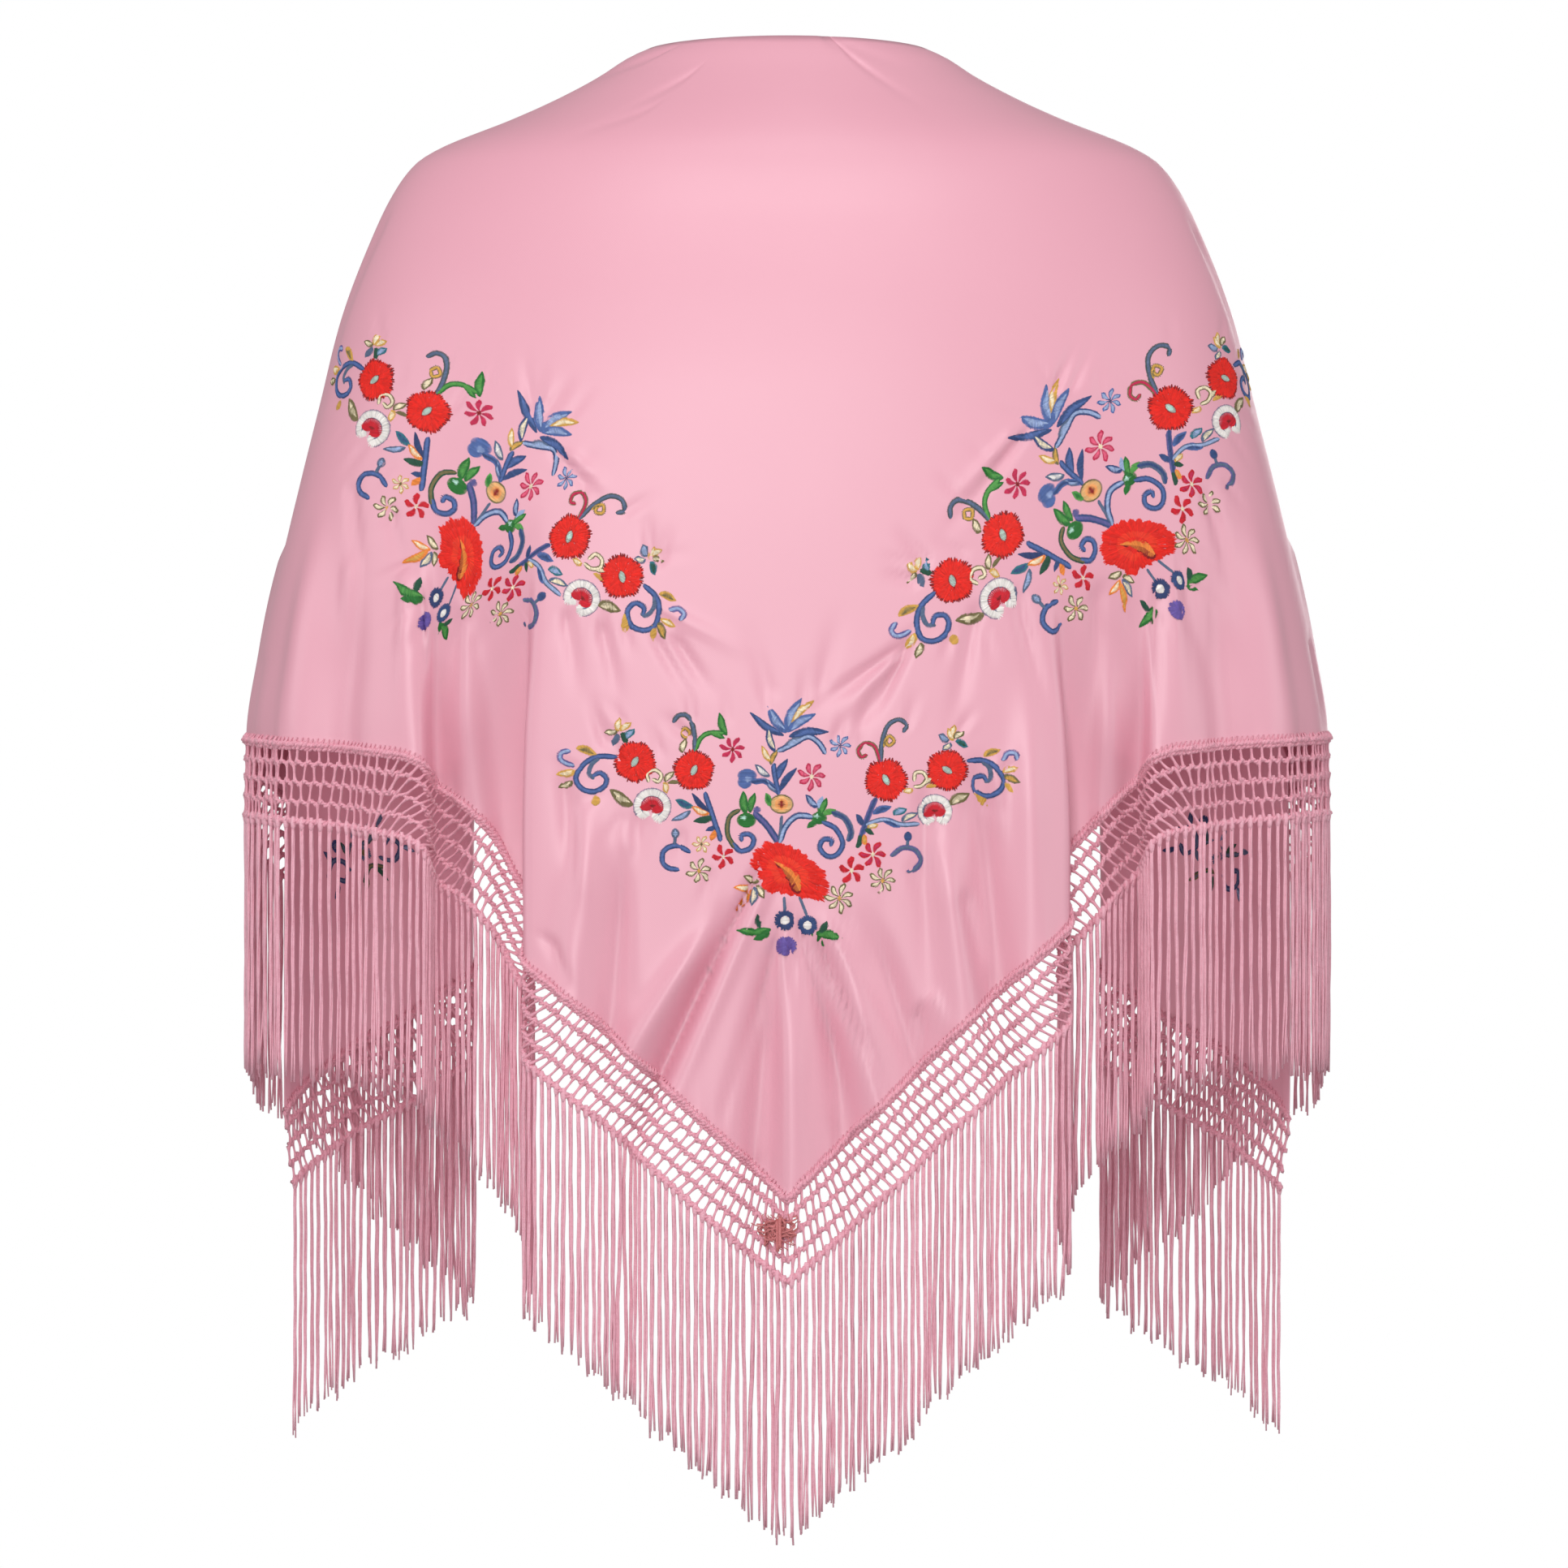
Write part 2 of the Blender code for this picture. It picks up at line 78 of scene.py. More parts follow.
HEM_COLUMNS = ("run", "height", "net_drop")
HEM = (
    (-0.688, -0.5480, 0.050),
    (-0.530, -0.4595, 0.052),
    (-0.420, -0.3640, 0.047),
    (-0.370, -0.3380, 0.043),
    (-0.300, -0.3400, 0.043),
    (-0.214, -0.3465, 0.046),
    (-0.205, -0.3510, 0.048),
    (-0.196, -0.3610, 0.054),
    (-0.166, -0.3880, 0.054),
    (-0.151, -0.4230, 0.056),
    (-0.138, -0.4580, 0.054),
    (-0.100, -0.4945, 0.053),
    (-0.030, -0.5600, 0.051),
    (-0.007, -0.5808, 0.048),
    (0.000, -0.5870, 0.046),
    (0.007, -0.5802, 0.048),
    (0.030, -0.5575, 0.051),
    (0.100, -0.4880, 0.053),
    (0.146, -0.4410, 0.054),
    (0.164, -0.3950, 0.056),
    (0.196, -0.3570, 0.052),
    (0.205, -0.3480, 0.048),
    (0.214, -0.3440, 0.046),
    (0.300, -0.3385, 0.043),
    (0.370, -0.3370, 0.043),
    (0.420, -0.3640, 0.047),
    (0.530, -0.4595, 0.052),
    (0.688, -0.5520, 0.050),
)

END_TOP_COLUMNS = ("run", "height")
END_TOP = ((0.530, -0.180), (0.580, -0.232), (0.640, -0.296), (0.688, -0.350))

HOLLOWS = (
    (-1, 0.1385, 0.1425, 0.199, -0.200, -0.400, 0.027, 0.0055),
    (1, 0.1450, 0.1525, 0.199, -0.225, -0.400, 0.025, 0.0055),
)

FOLDS = (
    (-0.026, -0.420, -0.078, -0.540, 0.007, -0.0060),
    (-0.034, -0.430, -0.092, -0.520, 0.009, 0.0040),
    (-0.008, -0.445, -0.020, -0.600, 0.010, -0.0050),
    (0.003, -0.445, 0.004, -0.620, 0.008, 0.0035),
    (0.016, -0.440, 0.036, -0.600, 0.009, -0.0045),
    (0.026, -0.440, 0.058, -0.570, 0.009, 0.0040),
    (0.040, -0.420, 0.076, -0.540, 0.008, -0.0035),
    (-0.105, -0.360, -0.118, -0.500, 0.010, 0.0045),
    (-0.084, -0.380, -0.098, -0.520, 0.008, -0.0035),
    (0.080, -0.370, 0.098, -0.500, 0.010, 0.0045),
    (0.104, -0.340, 0.116, -0.500, 0.009, -0.0040),
    (0.128, -0.300, 0.134, -0.480, 0.009, 0.0035),
    (-0.178, -0.270, -0.174, -0.420, 0.010, 0.0050),
    (0.176, -0.280, 0.178, -0.420, 0.009, 0.0045),
    (-0.245, -0.230, -0.250, -0.400, 0.012, -0.0035),
    (-0.275, -0.200, -0.282, -0.400, 0.014, 0.0040),
    (0.240, -0.230, 0.246, -0.400, 0.012, -0.0035),
    (0.272, -0.200, 0.280, -0.400, 0.014, 0.0040),
    (-0.400, -0.120, -0.418, -0.420, 0.016, 0.0050),
    (0.398, -0.110, 0.414, -0.420, 0.016, 0.0050),
    (-0.440, -0.140, -0.455, -0.460, 0.014, -0.0045),
    (0.442, -0.150, 0.458, -0.460, 0.014, -0.0045),
    (-0.485, -0.100, -0.492, -0.500, 0.013, 0.0040),
    (0.484, -0.090, 0.494, -0.500, 0.013, 0.0040),
    (-0.588, -0.300, -0.590, -0.620, 0.012, 0.0030),
    (0.590, -0.300, 0.588, -0.620, 0.012, 0.0030),
    (-0.622, -0.300, -0.620, -0.620, 0.011, -0.0030),
    (0.620, -0.300, 0.622, -0.620, 0.011, -0.0030),
)

# The thin cloth falls into deeper folds than the part's thicker wall
FOLD_GAIN = 1.7

# All creases are deepened alike
CREASE_GAIN = 1.35

# Where one stretch of the part ends and the next begins, by run
STRETCHES = (
    ("end_left", -END_RUN, -RUN_TO_FRONT_EDGE),
    ("wrap_left", -RUN_TO_FRONT_EDGE, -BACK_STRETCH_RUN),
    ("back_left", -BACK_STRETCH_RUN, 0.0),
    ("back_right", 0.0, BACK_STRETCH_RUN),
    ("wrap_right", BACK_STRETCH_RUN, RUN_TO_FRONT_EDGE),
    ("end_right", RUN_TO_FRONT_EDGE, END_RUN),
)

# Creases in the cloth, each from its deep end to where it fades: run and height of both ends,
# half width, depth.
CREASES = (
    # sharp pleats and rounded ridges that fan out to the middle point
    (-0.024, -0.428, -0.1136, -0.617, 0.0026, -0.0034),
    (-0.017, -0.432, -0.0884, -0.5944, 0.0044, 0.0018),
    (-0.006, -0.450, -0.0528, -0.601, 0.0038, -0.0019),
    (-0.002, -0.450, -0.001, -0.640, 0.0042, 0.0019),
    (0.008, -0.450, 0.0522, -0.601, 0.0038, -0.0018),
    (0.020, -0.458, 0.0758, -0.583, 0.0032, -0.0024),
    (0.024, -0.446, 0.076, -0.544, 0.0042, 0.0013),
    (0.071, -0.488, 0.080, -0.524, 0.0040, -0.0018),
    (0.079, -0.480, 0.091, -0.510, 0.0040, 0.0012),
    (-0.126, -0.450, -0.110, -0.492, 0.0040, -0.0013),
    (0.096, -0.430, 0.113, -0.506, 0.0060, -0.0018),
    (-0.080, -0.385, -0.091, -0.445, 0.0050, -0.0010),
    (0.073, -0.380, 0.079, -0.500, 0.0060, -0.0016),
    (-0.119, -0.370, -0.106, -0.510, 0.0070, -0.0016),
    (0.100, -0.365, 0.108, -0.480, 0.0060, -0.0012),
    (-0.085, -0.400, -0.084, -0.500, 0.0070, 0.0014),
    (0.112, -0.360, 0.120, -0.460, 0.0050, 0.0012),
    # from the ends of the side embroideries down and across the middle of the back
    (-0.059, -0.287, -0.036, -0.322, 0.0038, -0.0013),
    (-0.070, -0.287, -0.048, -0.324, 0.0034, -0.0010),
    (-0.066, -0.270, -0.010, -0.298, 0.0045, 0.0008),
    (0.063, -0.293, 0.038, -0.342, 0.0034, -0.0020),
    (0.059, -0.291, 0.004, -0.330, 0.0032, -0.0017),
    (0.056, -0.297, 0.018, -0.338, 0.0036, 0.0010),
    (0.101, -0.275, 0.085, -0.350, 0.0050, -0.0012),
    (-0.099, -0.282, -0.087, -0.334, 0.0045, -0.0010),
    (-0.119, -0.275, -0.111, -0.326, 0.0045, -0.0010),
    # above the middle embroidery
    (-0.098, -0.341, -0.107, -0.310, 0.0034, -0.0011),
    (-0.090, -0.350, -0.097, -0.324, 0.0034, -0.0009),
    (-0.052, -0.339, -0.070, -0.323, 0.0034, -0.0010),
    (0.040, -0.328, 0.058, -0.292, 0.0040, -0.0010),
    (-0.010, -0.312, -0.026, -0.268, 0.0060, -0.0006),
    (0.018, -0.310, 0.030, -0.262, 0.0060, -0.0006),
    # round the side embroideries
    (-0.144, -0.160, -0.153, -0.122, 0.0040, -0.0012),
    (-0.136, -0.163, -0.120, -0.138, 0.0036, -0.0011),
    (-0.127, -0.186, -0.096, -0.216, 0.0034, -0.0013),
    (-0.119, -0.186, -0.094, -0.208, 0.0036, 0.0008),
    (-0.191, -0.157, -0.170, -0.122, 0.0050, -0.0010),
    (-0.074, -0.240, -0.078, -0.210, 0.0036, -0.0010),
    (-0.070, -0.243, -0.062, -0.220, 0.0036, -0.0010),
    (0.130, -0.177, 0.078, -0.236, 0.0036, -0.0015),
    (0.122, -0.177, 0.084, -0.216, 0.0036, 0.0010),
    (0.153, -0.149, 0.172, -0.116, 0.0040, -0.0014),
    (0.164, -0.147, 0.182, -0.116, 0.0036, -0.0010),
    (0.075, -0.243, 0.057, -0.222, 0.0036, -0.0010),
    (0.069, -0.254, 0.048, -0.247, 0.0036, -0.0010),
    # hanging pleats below the side embroideries
    (-0.203, -0.268, -0.203, -0.370, 0.0030, -0.0024),
    (-0.212, -0.260, -0.212, -0.360, 0.0050, 0.0018),
    (-0.179, -0.268, -0.177, -0.360, 0.0060, 0.0014),
    (-0.252, -0.205, -0.237, -0.264, 0.0045, -0.0014),
    (-0.225, -0.215, -0.211, -0.254, 0.0045, -0.0011),
    (-0.248, -0.250, -0.252, -0.350, 0.0070, 0.0016),
    (0.204, -0.268, 0.206, -0.370, 0.0030, -0.0022),
    (0.214, -0.260, 0.218, -0.360, 0.0048, 0.0015),
    (0.222, -0.246, 0.242, -0.350, 0.0055, -0.0014),
    (0.126, -0.266, 0.143, -0.350, 0.0040, -0.0014),
    (0.171, -0.264, 0.170, -0.350, 0.0060, -0.0014),
    (0.243, -0.210, 0.262, -0.296, 0.0050, -0.0014),
    # slanting pulls under the neck edge
    (0.105, 0.049, 0.240, 0.034, 0.0060, -0.0008),
    (0.124, 0.041, 0.160, 0.004, 0.0090, -0.0008),
    (-0.294, 0.041, -0.400, 0.027, 0.0070, -0.0008),
    (-0.152, 0.026, -0.186, 0.004, 0.0080, -0.0007),
    (-0.148, 0.006, -0.192, -0.010, 0.0060, -0.0006),
    # over the upper arms and down the front
    (-0.300, -0.060, -0.312, -0.180, 0.0100, -0.0012),
    (0.302, -0.064, 0.316, -0.190, 0.0100, -0.0012),
    (-0.366, -0.020, -0.372, -0.300, 0.0130, -0.0018),
    (0.362, -0.030, 0.376, -0.310, 0.0130, -0.0018),
    (-0.420, -0.110, -0.426, -0.400, 0.0090, -0.0018),
    (0.424, -0.130, 0.430, -0.410, 0.0090, -0.0018),
    (-0.462, -0.200, -0.470, -0.460, 0.0075, 0.0016),
    (0.460, -0.210, 0.474, -0.470, 0.0075, 0.0016),
    (-0.508, -0.190, -0.500, -0.300, 0.0090, -0.0016),
    (0.512, -0.190, 0.498, -0.290, 0.0090, -0.0016),
    (-0.524, -0.200, -0.470, -0.230, 0.0070, -0.0012),
    (0.524, -0.196, 0.466, -0.220, 0.0070, -0.0012),
    (-0.330, -0.300, -0.334, -0.372, 0.0070, -0.0016),
    (0.334, -0.290, 0.336, -0.372, 0.0070, -0.0016),
    (-0.350, -0.240, -0.356, -0.350, 0.0080, 0.0016),
    (0.352, -0.236, 0.350, -0.350, 0.0080, 0.0016),
    (-0.468, -0.060, -0.430, -0.140, 0.0100, -0.0016),
    (0.466, -0.062, 0.432, -0.146, 0.0100, -0.0016),
    (-0.510, -0.020, -0.470, -0.070, 0.0100, -0.0012),
    (0.508, -0.022, 0.472, -0.074, 0.0100, -0.0012),
)

# Puckers that the stitches draw in the cloth round each embroidery: where each starts, in drawing
# units from the embroidery's middle, its bearing in degrees and its length.
PULLS = (
    (-262, 40, 170, 34), (-238, 2, 215, 36), (-206, -26, 238, 46), (-168, -38, 252, 54),
    (-130, -46, 262, 46), (-96, -98, 250, 54), (-60, -138, 240, 56), (-30, -180, 258, 54),
    (2, -192, 272, 60), (42, -178, 288, 52), (74, -144, 300, 56), (114, -112, 292, 54),
    (152, -86, 286, 52), (182, -38, 296, 54), (216, -14, 310, 46), (246, -6, 328, 38),
    (268, 40, 12, 34), (214, 90, 60, 38), (148, 98, 78, 46), (92, 72, 104, 40),
    (60, 80, 72, 46), (18, 124, 86, 52), (-26, 118, 112, 48), (-74, 104, 98, 44),
    (-118, 104, 95, 46), (-158, 62, 106, 42), (-206, 100, 120, 40),
)
PULL_OVERLAP = 5
PULL_DEPTH = 0.0009
PULL_HALF_WIDTH = 0.0027

# Cloth
CLOTH_THICKNESS = 0.0007
CLOTH_ROWS = 166
UPPER_ROWS = 0.29
UPPER_SHARE = 0.36
HEM_ROLL = 0.0030
HEM_ROLL_LIFT = 0.0005
PUCKER_PITCH = 0.0105
PUCKER_REACH = 0.012
PUCKER_DEPTH = 0.0009

# Net: rows of holes between lines of crochet, tied to each other by short bars
HOLE_ROWS = 4
NET_SHARE = 0.985
TOP_LINE_SHARE = 0.05
TOP_BAR_SHARE = 0.03
HOLE_PITCH = 0.0058
LINE_STEP = 0.0011
LINE_WAVE = 0.0009
LINE_RADIUS = 0.00145
BAR_RADIUS = 0.00074
HEADER_RADIUS = 0.0019
EDGE_LINE_GAIN = 1.2
PLY_PITCH = 0.0050
PLY_SWING = 0.5
PLY_RADIUS = 0.62
KNOT_SWELL = 0.20
LINE_UNEVENNESS = 0.07
BAR_SWELL = (2.1, 1.15, 0.9, 1.15, 2.1)
SEAM_SHARE = 0.008
SEAM_LIFT = 0.0010
SEAM_PLY_PITCH = 0.0042
SEAM_STITCH_PITCH = 0.0030

# Fringe: strands of a few loose yarns
STRAND_PITCH = 0.0053
YARNS_A_STRAND = 3
YARN_RADIUS = 0.00074
YARN_SPREAD = 0.00062
YARN_POINTS = 12
YARN_TURNS = 1.3
YARN_STRAY = 0.0006
YARN_LENGTHS = (-0.03, 0.01)
STRAND_LENGTHS = (0.95, 1.01)
STRAND_SWING = 0.0006
STRAND_STRAY = 0.0004
STRAND_BOW = 0.00035
ROOT_SHARE = 0.975

# Embroidery: one drawing unit is this long on the cloth
UNIT = 0.00044
THREAD_PITCH = 1.2
THREAD_WIDTH = 1.7
LEVEL_LIFT = 0.00020
THREAD_LIFT = 0.00030
SIDE_SIZE = 1.06

# Where a drawing's own middle line lies on the cloth. Along is the place on that line in metres,
# across the distance from the middle of the back, and turn the angle to which the drawing is
# turned there, anticlockwise in degrees.
STATION_COLUMNS = ("along", "across", "height", "turn")
MIDDLE_STATIONS = (
    (-0.130, -0.1310, -0.3715, 0.0),
    (-0.060, -0.0600, -0.3718, 0.0),
    (0.000, 0.0004, -0.3722, 0.0),
    (0.060, 0.0606, -0.3722, 0.0),
    (0.130, 0.1310, -0.3722, 0.0),
)
LEFT_STATIONS = (
    (-0.130, -0.2940, -0.1440, -18.0),
    (-0.081, -0.2443, -0.1616, -25.0),
    (-0.050, -0.2075, -0.1753, -28.0),
    (-0.004, -0.1581, -0.2029, -33.0),
    (0.053, -0.1261, -0.2382, -43.0),
    (0.085, -0.1024, -0.2628, -46.0),
    (0.130, -0.0700, -0.2955, -46.0),
)
RIGHT_STATIONS = (
    (-0.130, 0.0694, -0.3048, 47.0),
    (-0.081, 0.1060, -0.2671, 47.0),
    (-0.050, 0.1290, -0.2401, 44.0),
    (-0.004, 0.1645, -0.2025, 36.0),
    (0.053, 0.2204, -0.1685, 27.0),
    (0.085, 0.2632, -0.1563, 19.0),
    (0.130, 0.3182, -0.1463, 13.0),
)
RIGHT_END_STATIONS = (
    (-0.130, 0.5640, -0.3740, -30.0),
    (0.000, 0.6240, -0.4060, -30.0),
    (0.130, 0.6840, -0.4400, -30.0),
)
LEFT_END_STATIONS = (
    (-0.130, -0.6840, -0.4400, 30.0),
    (0.000, -0.6240, -0.4060, 30.0),
    (0.130, -0.5640, -0.3740, 30.0),
)


def srgb(red, green, blue):
    """A colour given as it looks on a screen, from 0 to 255, as linear light."""
    share = np.array([red, green, blue]) / 255
    return tuple(np.where(share <= 0.04045, share / 12.92, ((share + 0.055) / 1.055) ** 2.4))


THREADS = {
    "red": srgb(226, 32, 20),
    "bright_red": srgb(234, 52, 30),
    "dark_red": srgb(132, 20, 24),
    "crimson_red": srgb(200, 26, 44),
    "crimson": srgb(192, 40, 80),
    "rose": srgb(222, 92, 124),
    "orange": srgb(232, 134, 58),
    "peach": srgb(238, 184, 124),
    "gold": srgb(208, 160, 76),
    "cream": srgb(238, 222, 190),
    "white": srgb(232, 226, 222),
    "mint": srgb(186, 224, 212),
    "green": srgb(38, 112, 48),
    "leaf_green": srgb(82, 150, 72),
    "dark_green": srgb(34, 78, 60),
    "olive": srgb(116, 106, 70),
    "slate_green": srgb(74, 84, 88),
    "teal": srgb(46, 112, 128),
    "blue": srgb(80, 104, 160),
    "pale_blue": srgb(152, 170, 208),
    "steel": srgb(52, 74, 122),
    "navy": srgb(46, 62, 108),
    "slate": srgb(88, 104, 132),
    "violet_grey": srgb(96, 92, 148),
    "violet": srgb(104, 84, 160),
}


def column(table, names, name):
    """One named column of a table as an array."""
    return np.array([row[names.index(name)] for row in table], float)


def smooth_lookup(x, knots, values):
    """A cubic through the knots whose slopes are limited, so that it never overshoots."""
    steps = np.diff(knots)
    rises = np.diff(values) / steps
    slopes = np.empty(len(knots))
    slopes[0], slopes[-1] = rises[0], rises[-1]
    product = rises[:-1] * rises[1:]
    total = np.where(np.abs(rises[:-1] + rises[1:]) < 1e-12, 1.0, rises[:-1] + rises[1:])
    slopes[1:-1] = np.where(product > 0, 2 * product / total, 0.0)
    x = np.clip(x, knots[0], knots[-1])
    i = np.clip(np.searchsorted(knots, x) - 1, 0, len(steps) - 1)
    t = (x - knots[i]) / steps[i]
    return (
        values[i] * (1 + 2 * t) * (1 - t) ** 2
        + slopes[i] * steps[i] * t * (1 - t) ** 2
        + values[i + 1] * t**2 * (3 - 2 * t)
        + slopes[i + 1] * steps[i] * t**2 * (t - 1)
    )


def section_value(name, height):
    knots = column(SECTIONS, SECTION_COLUMNS, "height")
    return smooth_lookup(height, knots, column(SECTIONS, SECTION_COLUMNS, name))


# The form's outline at evenly spaced levels, each resampled at even shares of its length
LEVELS = np.linspace(-0.760, 0.050, 811)
SHARES = np.linspace(0, 1, 241)
ANGLE_SAMPLES = 161


def form_table():
    """The outline points and the length of the right half at each level."""
    opening = np.radians(section_value("opening_deg", LEVELS))[:, None]
    half_width = section_value("half_width", LEVELS)[:, None]
    side = section_value("side", LEVELS)[:, None]
    back = side - section_value("back", LEVELS)[:, None]
    front = section_value("front", LEVELS)[:, None] - side
    power = section_value("squareness", LEVELS)[:, None]
    angle = opening * np.linspace(0, 1, ANGLE_SAMPLES)[None, :]
    depth = np.where(np.cos(angle) > 0, back, front)
    across = np.abs(np.sin(angle) / half_width) ** power
    along = np.abs(np.cos(angle) / depth) ** power
    radius = (across + along) ** (-1 / power)
    x = radius * np.sin(angle)
    y = side - radius * np.cos(angle)
    steps = np.hypot(np.diff(x, axis=1), np.diff(y, axis=1))
    distance = np.concatenate([np.zeros((len(x), 1)), np.cumsum(steps, axis=1)], axis=1)
    whole = distance[:, -1]
    points = np.empty((len(LEVELS), len(SHARES), 2))
    for level in range(len(LEVELS)):
        wanted = SHARES * whole[level]
        points[level, :, 0] = np.interp(wanted, distance[level], x[level])
        points[level, :, 1] = np.interp(wanted, distance[level], y[level])
    return points, whole


OUTLINES, LENGTHS = form_table()


def level_of(height):
    """The index of the level below each height and the share of the way to the next."""
    place = (height - LEVELS[0]) / (LEVELS[1] - LEVELS[0])
    place = np.clip(place, 0, len(LEVELS) - 1.0001)
    index = place.astype(int)
    return index, place - index


def half_length(height):
    """How long the form is from the middle of the back to the front edge."""
    index, share = level_of(height)
    return LENGTHS[index] * (1 - share) + LENGTHS[index + 1] * share


def form_point(distance, height):
    """The point of the form this far along its outline at each height."""
    index, rise = level_of(height)
    place = np.clip(distance / half_length(height), 0, 1) * (len(SHARES) - 1)
    step = np.minimum(place.astype(int), len(SHARES) - 2)
    share = (place - step)[..., None]
    lower = OUTLINES[index, step] * (1 - share) + OUTLINES[index, step + 1] * share
    upper = OUTLINES[index + 1, step] * (1 - share) + OUTLINES[index + 1, step + 1] * share
    return lower * (1 - rise[..., None]) + upper * rise[..., None]


def bump(x):
    return np.exp(-(x**2))


def ease(x):
    """0 below 0, 1 above 1, smooth between."""
    x = np.clip(x, 0, 1)
    return x * x * (3 - 2 * x)


def step_up(x):
    """From 0 to 1 across x = 0, with its steep part about 1 wide."""
    return 0.5 * (1 + np.tanh(1.6 * x))


def hem_value(name, run):
    return smooth_lookup(run, column(HEM, HEM_COLUMNS, "run"), column(HEM, HEM_COLUMNS, name))


def end_top(run):
    knots = column(END_TOP, END_TOP_COLUMNS, "run")
    return smooth_lookup(np.abs(run), knots, column(END_TOP, END_TOP_COLUMNS, "height"))


def fold_offsets(run, height):
    """How far the main folds move the cloth outward, and along its run."""
    outward = np.zeros(run.shape)
    sideways = np.zeros(run.shape)
    for side, inner_top, inner_low, outer, top, low, depth, lean in HOLLOWS:
        near = np.where(run * side > 0, ease((top - height) / (top - low)), 0)
        inner = inner_top + (inner_low - inner_top) * near
        from_inner = (np.abs(run) - inner) / HOLLOW_EDGE_WIDTH
        from_outer = (np.abs(run) - outer) / HOLLOW_EDGE_WIDTH
        outward -= depth * near * (step_up(from_inner) - step_up(from_outer))
        for across in (from_inner, from_outer):
            sideways -= lean * near * across * np.exp(0.5 - 0.5 * across**2)
    for top_run, top, low_run, low, half_width, depth in FOLDS:
        share = (top - height) / (top - low)
        centre = top_run + (low_run - top_run) * np.clip(share, 0, 1.3)
        width = half_width * (0.7 + 0.5 * np.clip(share, 0, 1))
        outward += FOLD_GAIN * depth * ease(share * 2.2) * bump((run - centre) / width)
    return outward, sideways


def drawn_place(drawn, stations, size):
    """Run and height of points of a drawing, given in metres about its middle."""
    along = column(stations, STATION_COLUMNS, "along")
    values = {
        name: smooth_lookup(drawn[:, 0], along, column(stations, STATION_COLUMNS, name))
        for name in STATION_COLUMNS[1:]
    }
    turn = np.radians(values["turn"])
    up = drawn[:, 1] * size
    across = values["across"] - up * np.sin(turn)
    height = values["height"] + up * np.cos(turn)
    return across * RUN_TO_FRONT_EDGE / half_length(height), height


def pulls_on_cloth():
    """Start, end and strength of every pucker round the three embroideries."""
    pulls = []
    sides = ((MIDDLE_STATIONS, 1.0), (LEFT_STATIONS, SIDE_SIZE), (RIGHT_STATIONS, SIDE_SIZE))
    for stations, size in sides:
        for k, (x, y, bearing, length) in enumerate(PULLS):
            way = np.array([math.cos(math.radians(bearing)), math.sin(math.radians(bearing))])
            middle = np.array([x, y], float)
            drawn = np.array([middle - way * PULL_OVERLAP, middle + way * length]) * UNIT
            run, height = drawn_place(drawn, stations, size)
            strength = 0.6 + 0.8 * ((k * 0.618 + len(pulls) * 0.13) % 1)
            pulls.append(((run[0], height[0]), (run[1], height[1]), strength))
    return pulls


PULLS_ON_CLOTH = pulls_on_cloth()


def crease_place(run, height, start, end):
    """The share of the way along a crease, and the distance to its side."""
    along = np.subtract(end, start)
    length = np.linalg.norm(along)
    along = along / length
    share = ((run - start[0]) * along[0] + (height - start[1]) * along[1]) / length
    return share, (run - start[0]) * along[1] - (height - start[1]) * along[0]


def crease_offsets(run, height):
    """How far the creases and puckers move the cloth outward."""
    outward = np.zeros(run.shape)
    for start_run, start, end_run, end, half_width, depth in CREASES:
        share, across = crease_place(run, height, (start_run, start), (end_run, end))
        near = (share > -0.2) & (share < 1) & (np.abs(across) < 3.6 * half_width)
        share, across = share[near], across[near]
        fade = ease(share * 6 + 1) * (1 - ease(share)) * 1.4
        width = half_width * (0.6 + 0.6 * np.clip(share, 0, 1))
        outward[near] += CREASE_GAIN * depth * fade * bump(across / width)
    for start, end, strength in PULLS_ON_CLOTH:
        share, across = crease_place(run, height, start, end)
        near = (share > -0.2) & (share < 1) & (np.abs(across) < 6 * PULL_HALF_WIDTH)
        share = share[near]
        x = across[near] / (PULL_HALF_WIDTH * (1 + 1.2 * np.clip(share, 0, 1)))
        fade = ease(share * 6 + 1) * (1 - ease(share))
        outward[near] -= PULL_DEPTH * strength * fade * (1 - 1.2 * x**2) * bump(x)
    return outward


def hem_puckers(run, height):
    """Small gathers where the net's seam draws the hem in."""
    above = np.maximum(height - hem_value("height", run), 0)
    phase = 2 * math.pi * run / PUCKER_PITCH + 2.1 * np.sin(run * 61) + 1.3 * np.sin(run * 173 + 1)
    strength = 0.65 + 0.35 * np.sin(run * 43 + 2)
    return PUCKER_DEPTH * strength * np.sin(phase) * np.exp(-above / PUCKER_REACH)


def turn_radius(height):
    """The radius of the turned front edge, which is tighter where the turn begins."""
    below_top = END_TOP[0][1] - height
    return TURN_RADIUS * (0.35 + 0.65 * ease(below_top / 0.07))


